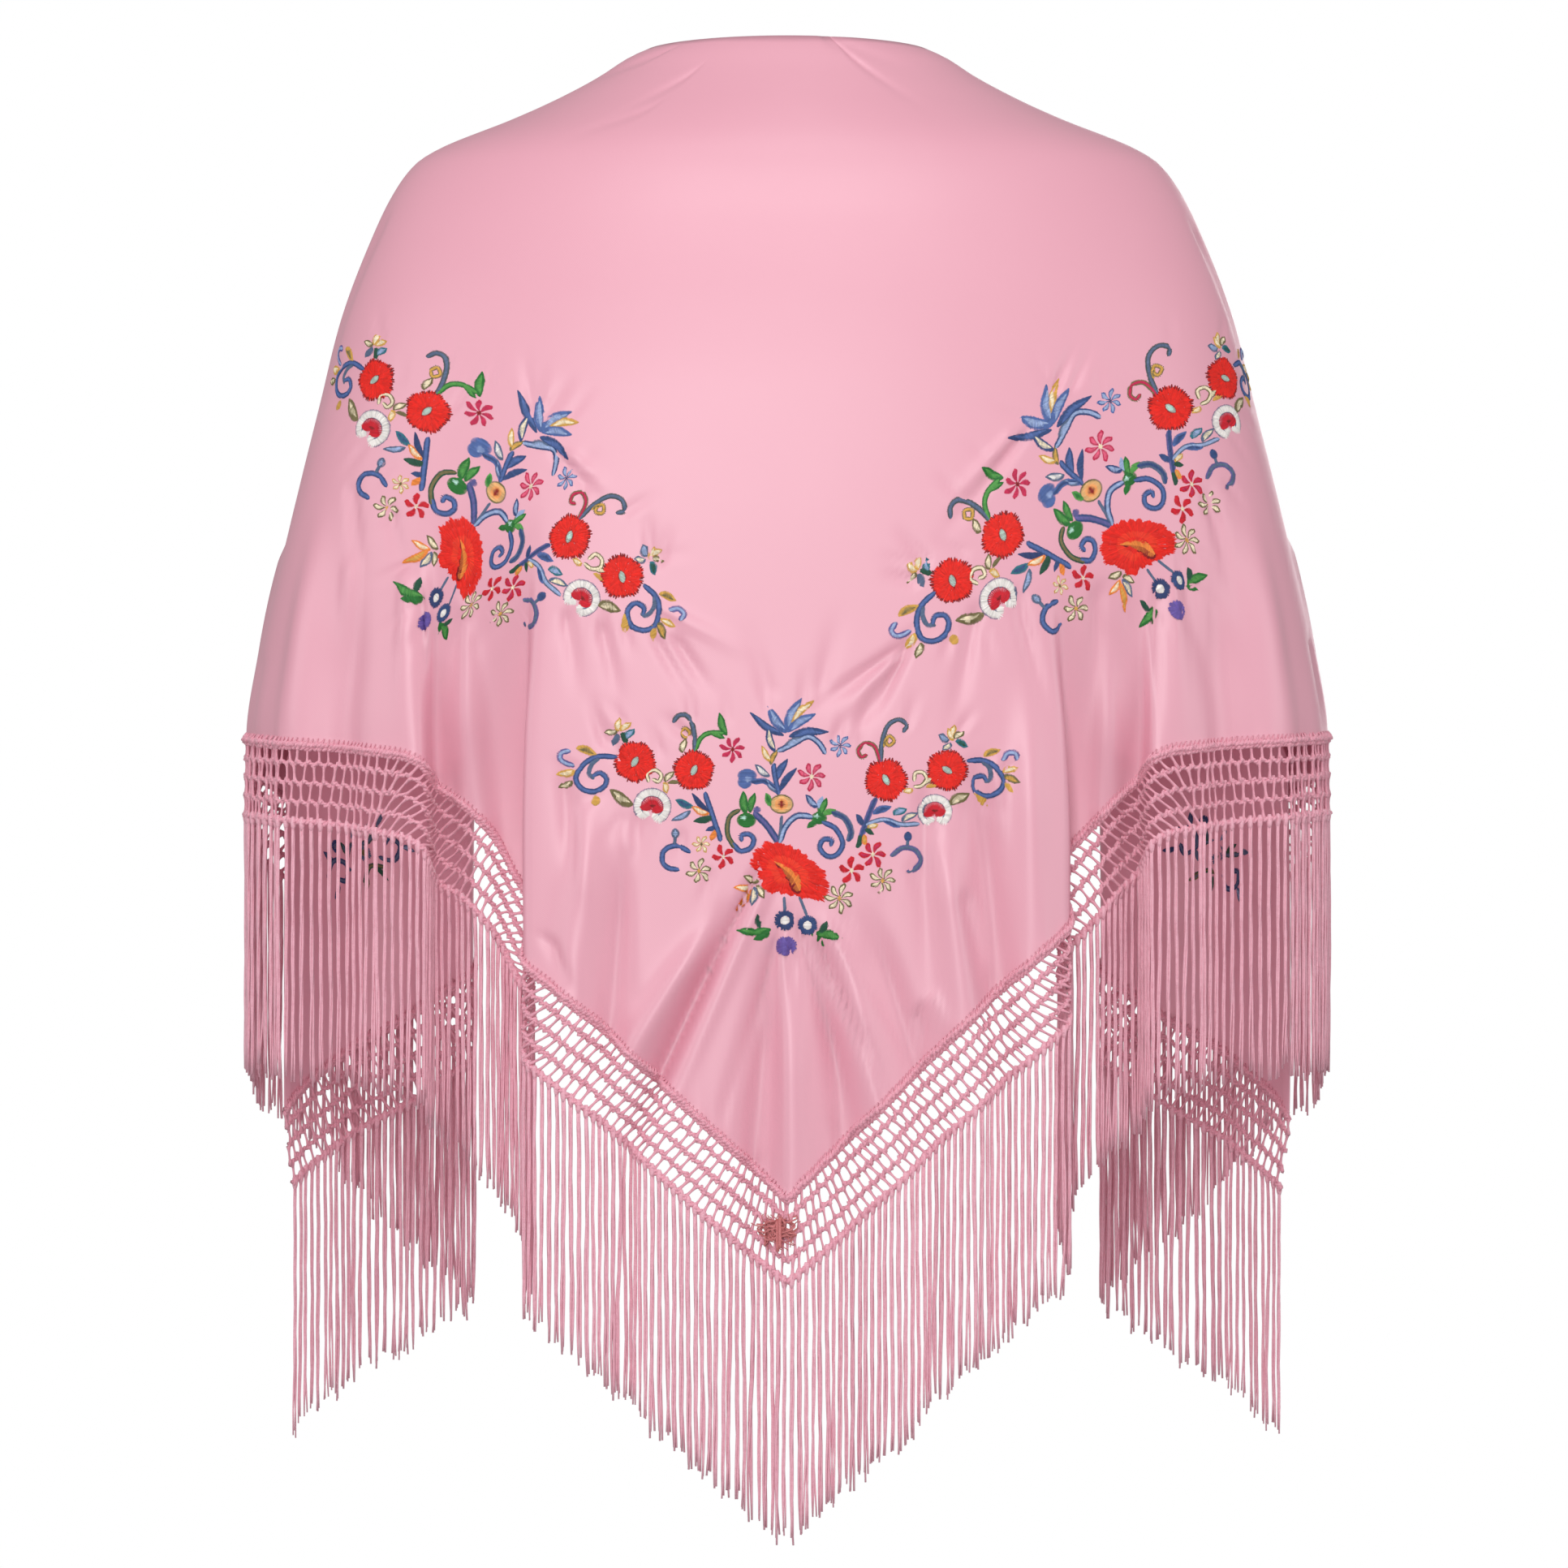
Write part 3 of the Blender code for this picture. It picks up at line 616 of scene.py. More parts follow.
def cloth_points(run, height):
    """The points of the cloth's middle surface at these runs and heights."""
    side = np.where(run < 0, -1.0, 1.0)
    past_edge = np.maximum(np.abs(run) - RUN_TO_FRONT_EDGE, 0)
    outward, sideways = fold_offsets(run, height)
    whole = half_length(height)
    share = np.minimum(np.abs(run) / RUN_TO_FRONT_EDGE, 1)
    radius = turn_radius(height)
    half_turn = math.pi * radius
    going_back = np.maximum(past_edge - half_turn, 0)
    distance = np.maximum(share * whole - going_back, 0)
    point = form_point(distance, height)
    low = np.maximum(distance - TANGENT_STEP, 0)
    high = np.minimum(distance + TANGENT_STEP, whole)
    tangent = form_point(high, height) - form_point(low, height)
    tangent /= np.linalg.norm(tangent, axis=-1, keepdims=True)
    normal = np.stack([tangent[..., 1], -tangent[..., 0]], axis=-1)
    turn = np.minimum(past_edge / radius, math.pi)
    inward = radius * (1 - np.cos(turn))
    forward = radius * np.sin(turn)
    facing = np.where(past_edge > half_turn, -1.0, 1.0)
    outward = (outward + crease_offsets(run, height) + hem_puckers(run, height)) * facing
    point = point + normal * (outward - inward)[..., None]
    point = point + tangent * (forward + sideways)[..., None]
    dip = NECK_DIP * share**2 * ease(height / TOP_HEIGHT)
    return np.stack([point[..., 0] * side, point[..., 1], height - dip], axis=-1)


NORMAL_STEP = 0.0012


def cloth_normals(run, height):
    """The directions in which the right side of the cloth faces."""
    along = cloth_points(run + NORMAL_STEP, height) - cloth_points(run - NORMAL_STEP, height)
    up = cloth_points(run, height + NORMAL_STEP) - cloth_points(run, height - NORMAL_STEP)
    normal = np.cross(along, up)
    return normal / np.linalg.norm(normal, axis=-1, keepdims=True)


def quad_mesh(name, points, quads, uvs=None, colours=None):
    """A smooth mesh of quads, with a UV for each corner and a colour for each point if given."""
    mesh = bpy.data.meshes.new(name)
    mesh.vertices.add(len(points))
    mesh.vertices.foreach_set("co", points.astype(np.float32).ravel())
    mesh.loops.add(quads.size)
    mesh.loops.foreach_set("vertex_index", quads.astype(np.int32).ravel())
    mesh.polygons.add(len(quads))
    mesh.polygons.foreach_set("loop_start", np.arange(0, quads.size, 4, dtype=np.int32))
    mesh.update(calc_edges=True)
    if uvs is not None:
        layer = mesh.uv_layers.new(name="UVMap")
        layer.data.foreach_set("uv", uvs[quads.ravel()].astype(np.float32).ravel())
    if colours is not None:
        attribute = mesh.color_attributes.new("thread", "FLOAT_COLOR", "POINT")
        rgba = np.concatenate([colours, np.ones((len(colours), 1))], axis=1)
        attribute.data.foreach_set("color", rgba.astype(np.float32).ravel())
    mesh.shade_smooth()
    return mesh


def grid_quads(corner):
    """The quads between the rows and columns of many small grids of points."""
    around = (corner[:, :-1, :-1], corner[:, :-1, 1:], corner[:, 1:, 1:], corner[:, 1:, :-1])
    return np.stack(around, axis=-1)


def piece(name, mesh, material):
    """A piece of the shawl, in its place, riding on the shawl's one body."""
    mesh.materials.append(material)
    made = bpy.data.objects.new(name, mesh)
    bpy.context.scene.collection.objects.link(made)
    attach(made, "root")
    return made


def cloth_columns():
    """Runs of the cloth's columns, closer together where its folds are finer."""
    half = [0.0]
    while half[-1] < END_RUN - 0.005:
        half.append(half[-1] + column_step(half[-1]))
    half[-1] = END_RUN
    half = np.array(half)
    nearest = np.argmin(np.abs(half - RUN_TO_FRONT_EDGE))
    half[nearest] = RUN_TO_FRONT_EDGE
    return np.concatenate([-half[:0:-1], half])


def column_step(run):
    """How far the next column is from this one."""
    turning = RUN_TO_FRONT_EDGE - 0.004 < run < RUN_TO_FRONT_EDGE + math.pi * TURN_RADIUS
    if turning or run < 0.214:
        return 0.0027
    return 0.0042 if run < 0.300 else 0.0086


HEM_MARKS = (0.0032, 0.0024, 0.0012, 0.0)


def cloth_grid():
    """Heights of the cloth's rows at each column, and the first row that the ends have."""
    runs = cloth_columns()
    hem = hem_value("height", runs)
    marks = np.array(HEM_MARKS)[:, None]
    share = np.interp(np.linspace(0, 1, CLOTH_ROWS), (0, UPPER_ROWS, 1), (0, UPPER_SHARE, 1))[:, None]
    rows = TOP_HEIGHT + share * (hem + HEM_MARKS[0] + 0.002 - TOP_HEIGHT)[None, :]
    at_edge = rows[:, np.argmin(np.abs(runs - RUN_TO_FRONT_EDGE))]
    first = int(np.argmin(np.abs(at_edge - END_TOP[0][1])))
    ends = np.abs(runs) >= RUN_TO_FRONT_EDGE
    tail = ((at_edge[first] - at_edge[first:]) / (at_edge[first] - at_edge[-1]))[:, None]
    top = end_top(runs[ends]) + (at_edge[first] - END_TOP[0][1])
    rows[first:, ends] = top + tail * (hem[ends] + HEM_MARKS[0] + 0.002 - top)
    return runs, np.concatenate([rows, hem + marks]), first


def make_cloth(material):
    """The whole triangle of satin as one thin shell, with its hem rolled and stitched."""
    runs, heights, first = cloth_grid()
    run = np.broadcast_to(runs, heights.shape)
    points = cloth_points(run, heights)
    above = heights - hem_value("height", run)
    roll = HEM_ROLL_LIFT * ease(1 - above / HEM_ROLL) * (1 - 0.6 * ease(1 - above / 0.0008))
    points = points + cloth_normals(run, heights) * roll[..., None]
    corner = np.arange(heights.size).reshape(heights.shape)
    quads = np.stack([corner[1:, :-1], corner[1:, 1:], corner[:-1, 1:], corner[:-1, :-1]], axis=-1)
    middle = (runs[1:] + runs[:-1]) / 2
    kept = np.ones(quads.shape[:2], bool)
    kept[:first] = np.abs(middle) < RUN_TO_FRONT_EDGE
    quads = quads[kept]
    used, flat = np.unique(quads, return_inverse=True)
    uvs = np.stack([run.ravel(), heights.ravel()], axis=1)[used]
    mesh = quad_mesh("cloth", points.reshape(-1, 3)[used], flat.reshape(-1, 4), uvs)
    cloth = piece("cloth", mesh, material)
    shell = cloth.modifiers.new("thickness", "SOLIDIFY")
    shell.thickness = CLOTH_THICKNESS
    shell.offset = 0
    shell.use_even_offset = False
    return cloth


def distance_along(points):
    """The real distance from the first point of each path to every one of its points."""
    steps = np.linalg.norm(np.diff(points, axis=-2), axis=-1)
    start = np.zeros(steps.shape[:-1] + (1,))
    return np.concatenate([start, np.cumsum(steps, axis=-1)], axis=-1)


def path_frames(paths, facing):
    """The directions across and outward at each point of many paths."""
    ahead = np.gradient(paths, axis=1)
    ahead /= np.linalg.norm(ahead, axis=-1, keepdims=True)
    across = np.cross(ahead, facing)
    across /= np.linalg.norm(across, axis=-1, keepdims=True)
    return across, np.cross(across, ahead)


def tube_rings(paths, facing, radii, sides):
    """Rings of points round many paths of the same number of points."""
    across, outward = path_frames(paths, facing)
    angle = np.arange(sides) * 2 * math.pi / sides
    ring = (
        across[:, :, None, :] * np.cos(angle)[None, None, :, None]
        + outward[:, :, None, :] * np.sin(angle)[None, None, :, None]
    )
    return paths[:, :, None, :] + ring * radii[:, :, None, None]


def tubes(paths, facing, radii, sides):
    """Closed tubes along many paths: their points, quads and UVs, where V runs along in metres."""
    count, stations = paths.shape[:2]
    rings = tube_rings(paths, facing, radii, sides)
    corner = np.arange(count * stations * sides).reshape(count, stations, sides)
    after = np.roll(corner, -1, axis=2)
    walls = np.stack([corner[:, :-1], after[:, :-1], after[:, 1:], corner[:, 1:]], axis=-1)
    caps = []
    for k in range(1, sides - 2, 2):
        caps.append(corner[:, 0, [0, k + 2, k + 1, k]])
        caps.append(corner[:, -1, [0, k, k + 1, k + 2]])
    quads = np.concatenate([walls.reshape(-1, 4)] + caps)
    uvs = np.empty((count, stations, sides, 2))
    uvs[..., 0] = np.arange(sides) / sides
    uvs[..., 1] = distance_along(paths)[:, :, None]
    return rings.reshape(-1, 3), quads, uvs.reshape(-1, 2)


def plied(paths, facing, radii, sides, pitch, plies=2):
    """The paths of thinner yarns that twist round each path, as one set of tubes."""
    along = distance_along(paths)
    across, outward = path_frames(paths, facing)
    parts = []
    for ply in range(plies):
        angle = 2 * math.pi * (along / pitch + ply / plies)
        swing = across * np.cos(angle)[..., None] + outward * np.sin(angle)[..., None]
        centre = paths + swing * (radii * PLY_SWING)[..., None]
        parts.append(tubes(centre, facing, radii * PLY_RADIUS, sides))
    return join(parts)


def join(parts):
    """Several sets of points, quads and UVs as one."""
    points, quads, uvs, start = [], [], [], 0
    for some_points, some_quads, some_uvs in parts:
        points.append(some_points)
        quads.append(some_quads + start)
        uvs.append(some_uvs)
        start += len(some_points)
    return np.concatenate(points), np.concatenate(quads), np.concatenate(uvs)


SLOPE_REACH = 0.010


def net_place(run, share):
    """Run and height in the net, as a share of the way down from the hem over this run. The way
    down is square to the hem, so that the holes stand square to it where it slopes."""
    rise = hem_value("height", run + SLOPE_REACH) - hem_value("height", run - SLOPE_REACH)
    slope = rise / (2 * SLOPE_REACH)
    drop = hem_value("net_drop", run)
    moved = run + share * drop * slope / (1 + slope**2) * np.clip(np.abs(run) / 0.03, 0, 1)
    moved = np.clip(moved, -END_RUN, END_RUN)
    return moved, hem_value("height", moved) - share * hem_value("net_drop", moved)


def row_ruler(start, end, share):
    """Runs from start to end, and the real distance along the net's row that hangs from them."""
    runs = np.linspace(start, end, 1200)
    return runs, distance_along(cloth_points(*net_place(runs, np.full(len(runs), float(share)))))


def runs_at(ruler, distance):
    return np.interp(distance, ruler[1], ruler[0])


def net_wave(distance, line):
    """How far each line is drawn up by the bars above it and down by the bars below."""
    phase = 2 * math.pi * (distance / HOLE_PITCH - 0.5 * (line % 2))
    return LINE_WAVE * np.cos(phase)


def net_line(start, end, line, chance):
    """One line of the net, which swells at the knots of its bars."""
    level = max(line / HOLE_ROWS, TOP_LINE_SHARE) * NET_SHARE
    ruler = row_ruler(start, end, level)
    distance = line_distances(ruler)
    run = runs_at(ruler, distance)
    share = np.full(len(run), level)
    if 0 < line < HOLE_ROWS:
        share = share - net_wave(distance, line) / hem_value("net_drop", run)
    place = net_place(run, share)
    knots = 1 + KNOT_SWELL * np.cos(4 * math.pi * distance / HOLE_PITCH)
    knots = knots + chance.uniform(-LINE_UNEVENNESS, LINE_UNEVENNESS, len(run))
    radii = LINE_RADIUS * (EDGE_LINE_GAIN if line in (0, HOLE_ROWS) else 1.0) * knots
    return plied(cloth_points(*place)[None], cloth_normals(*place)[None], radii[None], 5, PLY_PITCH)


def line_distances(ruler):
    return np.linspace(0, ruler[1][-1], int(ruler[1][-1] / LINE_STEP))


def seam_roll(ruler):
    """The thick plied edging that covers the seam between the hem and the net."""
    distance = line_distances(ruler)
    place = net_place(runs_at(ruler, distance), np.full(len(distance), SEAM_SHARE))
    facing = cloth_normals(*place)
    path = cloth_points(*place) + facing * SEAM_LIFT
    radii = HEADER_RADIUS * (1 + 0.22 * np.cos(2 * math.pi * distance / SEAM_STITCH_PITCH))
    return plied(path[None], facing[None], radii[None], 5, SEAM_PLY_PITCH)


def make_net(name, start, end, material, chance):
    """One stretch of the net: its lines from end to end, and the bars between them."""
    ruler = row_ruler(start, end, 0)
    parts = [net_line(start, end, line, chance) for line in range(HOLE_ROWS + 1)]
    parts += [seam_roll(ruler), seam_stitches(ruler), net_bars(start, end, chance)]
    made = piece("crocheted_net_" + name, quad_mesh("net_" + name, *join(parts)), material)
    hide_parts("net_" + name)
    return made


def seam_stitches(ruler):
    """Short slanting stitches that sew the net's edge onto the hem."""
    marks = np.arange(SEAM_STITCH_PITCH, ruler[1][-1], SEAM_STITCH_PITCH)
    up = np.array([-0.0012, 0.0012, 0.0034])
    run = runs_at(ruler, marks)[:, None] + np.array([-0.0004, 0.0002, 0.0009])
    height = hem_value("height", run) + up
    facing = cloth_normals(run, height)
    lift = np.array([0.0024, 0.0018, 0.0003])
    radii = np.broadcast_to(np.array([0.0006, 0.0006, 0.0004]), run.shape)
    return tubes(cloth_points(run, height) + facing * lift[None, :, None], facing, radii, 4)


def net_bars(start, end, chance):
    """The bars of all rows, each row half a hole further on than the last."""
    paths, facings = [], []
    for row in range(HOLE_ROWS):
        ruler = row_ruler(start, end, (row + 0.5) / HOLE_ROWS)
        length = ruler[1][-1]
        offset = 0.5 * (row % 2)
        marks = (np.arange(int(length / HOLE_PITCH) + 1) + offset) * HOLE_PITCH
        marks = marks[marks < length]
        marks = marks + chance.uniform(-0.10, 0.10, len(marks)) * HOLE_PITCH
        lean = chance.uniform(-0.20, 0.20, len(marks)) * HOLE_PITCH
        down = np.linspace(0, 1, len(BAR_SWELL))[None, :]
        distance = np.clip(marks[:, None] + lean[:, None] * (down - 0.5), 0, length)
        first = TOP_BAR_SHARE if row == 0 else row / HOLE_ROWS
        share = (first + down * ((row + 1) / HOLE_ROWS - first)) * NET_SHARE
        run = runs_at(ruler, distance)
        place = net_place(run, np.broadcast_to(share, run.shape))
        paths.append(cloth_points(*place))
        facings.append(cloth_normals(*place))
    paths, facings = np.concatenate(paths), np.concatenate(facings)
    radii = BAR_RADIUS * np.array(BAR_SWELL) * chance.uniform(0.85, 1.2, (len(paths), 1))
    return tubes(paths, facings, radii, 5)


def make_fringe(name, start, end, material, chance):
    """Strands knotted into the net's lower line, each of a few yarns that twist side by side."""
    ruler = row_ruler(start, end, ROOT_SHARE)
    count = int(round(ruler[1][-1] / STRAND_PITCH))
    distance = (np.arange(count) + 0.5) * ruler[1][-1] / count
    run = runs_at(ruler, distance)
    place = net_place(run, np.full(count, ROOT_SHARE))
    root = cloth_points(*place)
    facing = cloth_normals(*place)
    facing[:, 2] = 0
    facing /= np.linalg.norm(facing, axis=1)[:, None]
    across = np.stack([-facing[:, 1], facing[:, 0], np.zeros(count)], axis=1)
    down = np.linspace(0, 1, YARN_POINTS)
    lengths = FRINGE_LENGTH * chance.uniform(*STRAND_LENGTHS, count)
    swing = STRAND_SWING * np.sin(run * 150 + 1) + chance.normal(0, STRAND_STRAY, count)
    bow = chance.normal(0, STRAND_BOW, (count, 2))
    parts = []
    for yarn in range(YARNS_A_STRAND):
        phase = 2 * math.pi * yarn / YARNS_A_STRAND + chance.uniform(0, 1, count)[:, None]
        turn = phase + 2 * math.pi * YARN_TURNS * down[None, :]
        spread = YARN_SPREAD * (0.9 + 0.25 * down[None, :] ** 2)
        stray = chance.normal(0, YARN_STRAY, count)[:, None] * down[None, :] ** 4
        side = (
            swing[:, None] * down[None, :] ** 1.2
            + bow[:, :1] * np.sin(math.pi * 2 * down)[None, :]
            + spread * np.cos(turn)
            + stray
        )
        proud = bow[:, 1:] * np.sin(math.pi * down)[None, :] + spread * np.sin(turn) * 0.8
        fall = lengths[:, None] * (1 + chance.uniform(*YARN_LENGTHS, count)[:, None]) * down[None, :]
        path = (
            root[:, None, :]
            + across[:, None, :] * side[..., None]
            + facing[:, None, :] * proud[..., None]
            - np.array([0, 0, 1]) * fall[..., None]
        )
        radii = YARN_RADIUS * (1 - 0.25 * down[None, :] ** 6) * np.ones((count, 1))
        parts.append(tubes(path, np.broadcast_to(facing[:, None, :], path.shape), radii, 4))
    parts.append(root_knots(root, facing))
    mesh = quad_mesh("fringe_" + name, *join(parts))
    made = piece("silk_fringe_" + name, mesh, material)
    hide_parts("fringe_" + name)
    return made


def root_knots(root, facing):
    """The small loop with which each strand is knotted into the net."""
    down = np.array([0.0022, 0.0006, -0.0012, -0.0034, -0.0054])
    path = root[:, None, :] + np.array([0, 0, 1]) * down[None, :, None]
    radii = np.array([0.0009, 0.0016, 0.0018, 0.0015, 0.0009]) * np.ones((len(root), 1))
    return tubes(path, np.broadcast_to(facing[:, None, :], path.shape), radii, 6)


def on_cloth(drawn, lift, stations, size):
    """Points of a drawing, in metres about its middle, laid on the cloth and lifted off it."""
    run, height = drawn_place(drawn, stations, size)
    return cloth_points(run, height) + cloth_normals(run, height) * lift[:, None]


def smooth_line(points, spacing):
    """Evenly spaced points on a smooth curve through the given ones."""
    points = np.array(points, float)
    if len(points) > 2:
        ahead = np.gradient(points, axis=0)
        fine = []
        for k in range(len(points) - 1):
            t = np.linspace(0, 1, 13)[:-1, None]
            fine.append(
                points[k] * (1 + 2 * t) * (1 - t) ** 2
                + ahead[k] * t * (1 - t) ** 2
                + points[k + 1] * t**2 * (3 - 2 * t)
                + ahead[k + 1] * t**2 * (t - 1)
            )
        points = np.concatenate(fine + [points[-1:]])
    distance = distance_along(points)
    wanted = np.linspace(0, distance[-1], max(int(distance[-1] / spacing), 3) + 1)
    return np.stack([np.interp(wanted, distance, points[:, axis]) for axis in range(2)], axis=1)


PROFILES = {
    "leaf": lambda t: np.sin(math.pi * t**0.85) ** 0.8,
    "petal": lambda t: np.sin(math.pi * t**1.7) ** 0.6,
    "bud": lambda t: np.sin(math.pi * t**0.6) ** 0.7,
    "band": lambda t: np.minimum(1, np.sqrt(np.minimum(t, 1 - t) * 14 + 0.03)),
}


class Sewing:
    """Stitches of a drawing, in drawing units about its middle, x right and y up."""

    def __init__(self, seed, coarse=1.0):
        self.chance = np.random.default_rng(seed)
        self.coarse = coarse
        self.rows = []

    def stitches(self, starts, ends, colour, level=0, width=THREAD_WIDTH):
        """Straight stitches. The level counts the layers of thread that lie below them."""
        count = len(starts)
        shade = 1 + self.chance.normal(0, 0.09, count)[:, None]
        tint = np.array(THREADS[colour])[None, :] * shade
        widths = np.full(count, width * self.coarse) * self.chance.uniform(0.9, 1.15, count)
        self.rows.append((starts, ends, widths, np.full(count, float(level)), np.clip(tint, 0, 1)))

    def satin(self, points, half_width, colour, profile="leaf", slant=0.5, level=0):
        """Stitches side by side across a shape that follows a curve."""
        line = smooth_line(points, THREAD_PITCH * self.coarse)
        ahead = np.gradient(line, axis=0)
        ahead /= np.linalg.norm(ahead, axis=1)[:, None]
        across = np.stack([-ahead[:, 1], ahead[:, 0]], axis=1)
        width = half_width * PROFILES[profile](np.linspace(0.02, 0.98, len(line))) + 0.35
        width = (width * self.chance.uniform(0.92, 1.08, len(line)))[:, None]
        self.stitches(
            line + across * width - ahead * width * slant,
            line - across * width + ahead * width * slant,
            colour,
            level,
        )

    def rays(
        self, centre, inner, outer, colour, count, level=0, ragged=0.08, lobes=0, depth=0.0, start=0.0
    ):
        """Stitches that stand out from a centre between two radii, with a lobed ragged edge."""
        count = max(int(count / self.coarse), 8)
        angle = (np.arange(count) + self.chance.uniform(-0.3, 0.3, count)) * 2 * math.pi / count
        lobe = 1 + depth * np.cos(lobes * angle + start)
        reach = outer * lobe * (1 + self.chance.uniform(-ragged, ragged, count))
        root = inner * (1 + self.chance.uniform(-ragged, ragged, count) * 2)
        way = np.stack([np.cos(angle), np.sin(angle)], axis=1)
        centre = np.array(centre, float)
        start = centre + way * root[:, None]
        self.stitches(start, centre + way * reach[:, None], colour, level, THREAD_WIDTH * 1.3)

    def oval(self, centre, half_width, half_height, colour, level=0, turn_deg=0.0):
        """A small oval filled with level stitches."""
        count = max(int(2 * half_height / (THREAD_PITCH * self.coarse)), 3)
        rise = np.linspace(-0.92, 0.92, count)
        reach = half_width * np.sqrt(1 - rise**2)
        turn = math.radians(turn_deg)
        way = np.array([math.cos(turn), math.sin(turn)])
        up = np.array([-way[1], way[0]])
        middle = np.array(centre, float) + rise[:, None] * half_height * up
        self.stitches(middle - way * reach[:, None], middle + way * reach[:, None], colour, level)

    def surface(self, name, stations, size, material):
        """All the stitches as one piece on the cloth."""
        starts, ends, widths, levels, tints = (np.concatenate(part) for part in zip(*self.rows))
        ahead = ends - starts
        length = np.linalg.norm(ahead, axis=1)
        ahead = ahead / np.maximum(length, 1e-6)[:, None]
        across = np.stack([-ahead[:, 1], ahead[:, 0]], axis=1) * (widths / 2)[:, None]
        middle = (starts + ends) / 2
        rows = []
        for centre, swell in ((starts, 0.55), (middle, 1.0), (ends, 0.55)):
            for side in (1, 0, -1):
                rows.append(centre + across * side * swell)
        drawn = np.stack(rows, axis=1) * UNIT
        base = CLOTH_THICKNESS / 2 + levels * LEVEL_LIFT
        crown = THREAD_LIFT + np.minimum(length * UNIT * 0.05, 0.0004)
        edge = base - 0.00005
        lifts = np.stack(
            [edge, base + 0.00012, edge, edge + crown * 0.55, base + crown, edge + crown * 0.55]
            + [edge, base + 0.00012, edge],
            axis=1,
        )
        points = on_cloth(drawn.reshape(-1, 2), lifts.ravel(), stations, size)
        corner = np.arange(len(starts) * 9).reshape(-1, 3, 3)
        quads = grid_quads(corner)
        uvs = np.zeros((len(starts), 3, 3, 2))
        uvs[..., 0] = np.array([0, 0.5, 1])
        uvs[..., 1] = np.array([0, 0.5, 1])[None, :, None] * (length * UNIT)[:, None, None]
        colours = np.repeat(tints, 9, axis=0)
        mesh = quad_mesh(name, points, quads.reshape(-1, 4), uvs.reshape(-1, 2), colours)
        return piece(name, mesh, material)


def poppy(sewing, x, y, radius, turn_deg):
    """A round red flower of three rings of stitches, with a pale oval heart."""
    sewing.rays((x, y), radius * 0.80, radius * 1.02, "dark_red", 64, 0, 0.06, 5, 0.04, x)
    sewing.rays((x, y), radius * 0.62, radius * 0.97, "red", 92, 0.4, 0.06, 5, 0.04, x)
    sewing.rays((x, y), radius * 0.38, radius * 0.76, "red", 66, 1.0, 0.09)
    sewing.rays((x, y), radius * 0.14, radius * 0.48, "red", 40, 1.6, 0.12)
    sewing.oval((x, y), radius * 0.21, radius * 0.35, "dark_red", 2.2, turn_deg)
    sewing.oval((x, y), radius * 0.14, radius * 0.27, "mint", 3.0, turn_deg)


def leaf(sewing, colour, inner, half_width, x, y, tip_x, tip_y, profile="leaf"):
    """A leaf or petal from its foot to its tip, with a paler middle if an inner colour is given."""
    foot, tip = np.array([x, y], float), np.array([tip_x, tip_y], float)
    way = tip - foot
    middle = (foot + tip) / 2 + np.array([-way[1], way[0]]) * 0.07
    sewing.satin([foot, middle, tip], half_width, colour, profile)
    if inner:
        vein = [foot + way * 0.14, middle, foot + way * 0.84]
        sewing.satin(vein, half_width * 0.52, inner, profile, 0.5, 1)


def star(sewing, x, y, colour, inner, size, petals, turn_deg, heart):
    """A small open flower of rounded petals."""
    for k in range(petals):
        angle = math.radians(turn_deg + 360 * k / petals)
        way = np.array([math.cos(angle), math.sin(angle)])
        foot = np.array([x, y]) + way * size * 0.16
        tip = foot + way * size * (0.84 if k % 2 else 0.74)
        half_width = min(size * 0.24, size * 1.25 / petals)
        leaf(sewing, colour, inner, half_width, *foot, *tip, "petal")
    sewing.oval((x, y), size * 0.15, size * 0.15, heart, 1)


def placed(points, x, y, turn_deg):
    """Points turned about a motif's middle and moved to its place."""
    turn = math.radians(turn_deg)
    across, up = np.array(points, float).T
    return np.stack(
        [
            x + across * math.cos(turn) - up * math.sin(turn),
            y + across * math.sin(turn) + up * math.cos(turn),
        ],
        axis=1,
    )


def heart_flower(sewing, x, y, size, turn_deg):
    """A notched flower with a scalloped white rim round a red kidney."""
    angle = np.radians(np.arange(-150, 151, 15))
    radius = size * (0.84 + 0.06 * np.cos(2 * angle))
    rim = placed(np.stack([radius * np.sin(angle), radius * np.cos(angle) * 0.84], axis=1), x, y, turn_deg)
    lobe = np.array(HEART_LOBE) * size
    for side in (-1, 1):
        sewing.satin(placed(lobe * (side, 1), x, y, turn_deg), size * 0.19, "white", "band", 0.2)
    sewing.satin(rim, size * 0.23, "slate", "band", 0.1)
    sewing.satin(rim, size * 0.17, "white", "band", 0.1, 0.8)
    core = placed(np.array(HEART_CORE) * size, x, y, turn_deg)
    sewing.satin(core, size * 0.31, "crimson_red", "band", 0.2, 0.9)
    vein = [(x - size * 0.10, y + size * 0.06), (x + size * 0.22, y + size * 0.06)]
    sewing.satin(vein, size * 0.10, "dark_red", "bud", 0.4, 1.8)


# Lines of the heart flower, as shares of its size
HEART_LOBE = ((-0.16, -0.34), (-0.42, -0.62), (-0.60, -0.60))
HEART_CORE = ((-0.36, -0.26), (-0.26, 0.10), (0.0, 0.22), (0.26, 0.10), (0.36, -0.26))

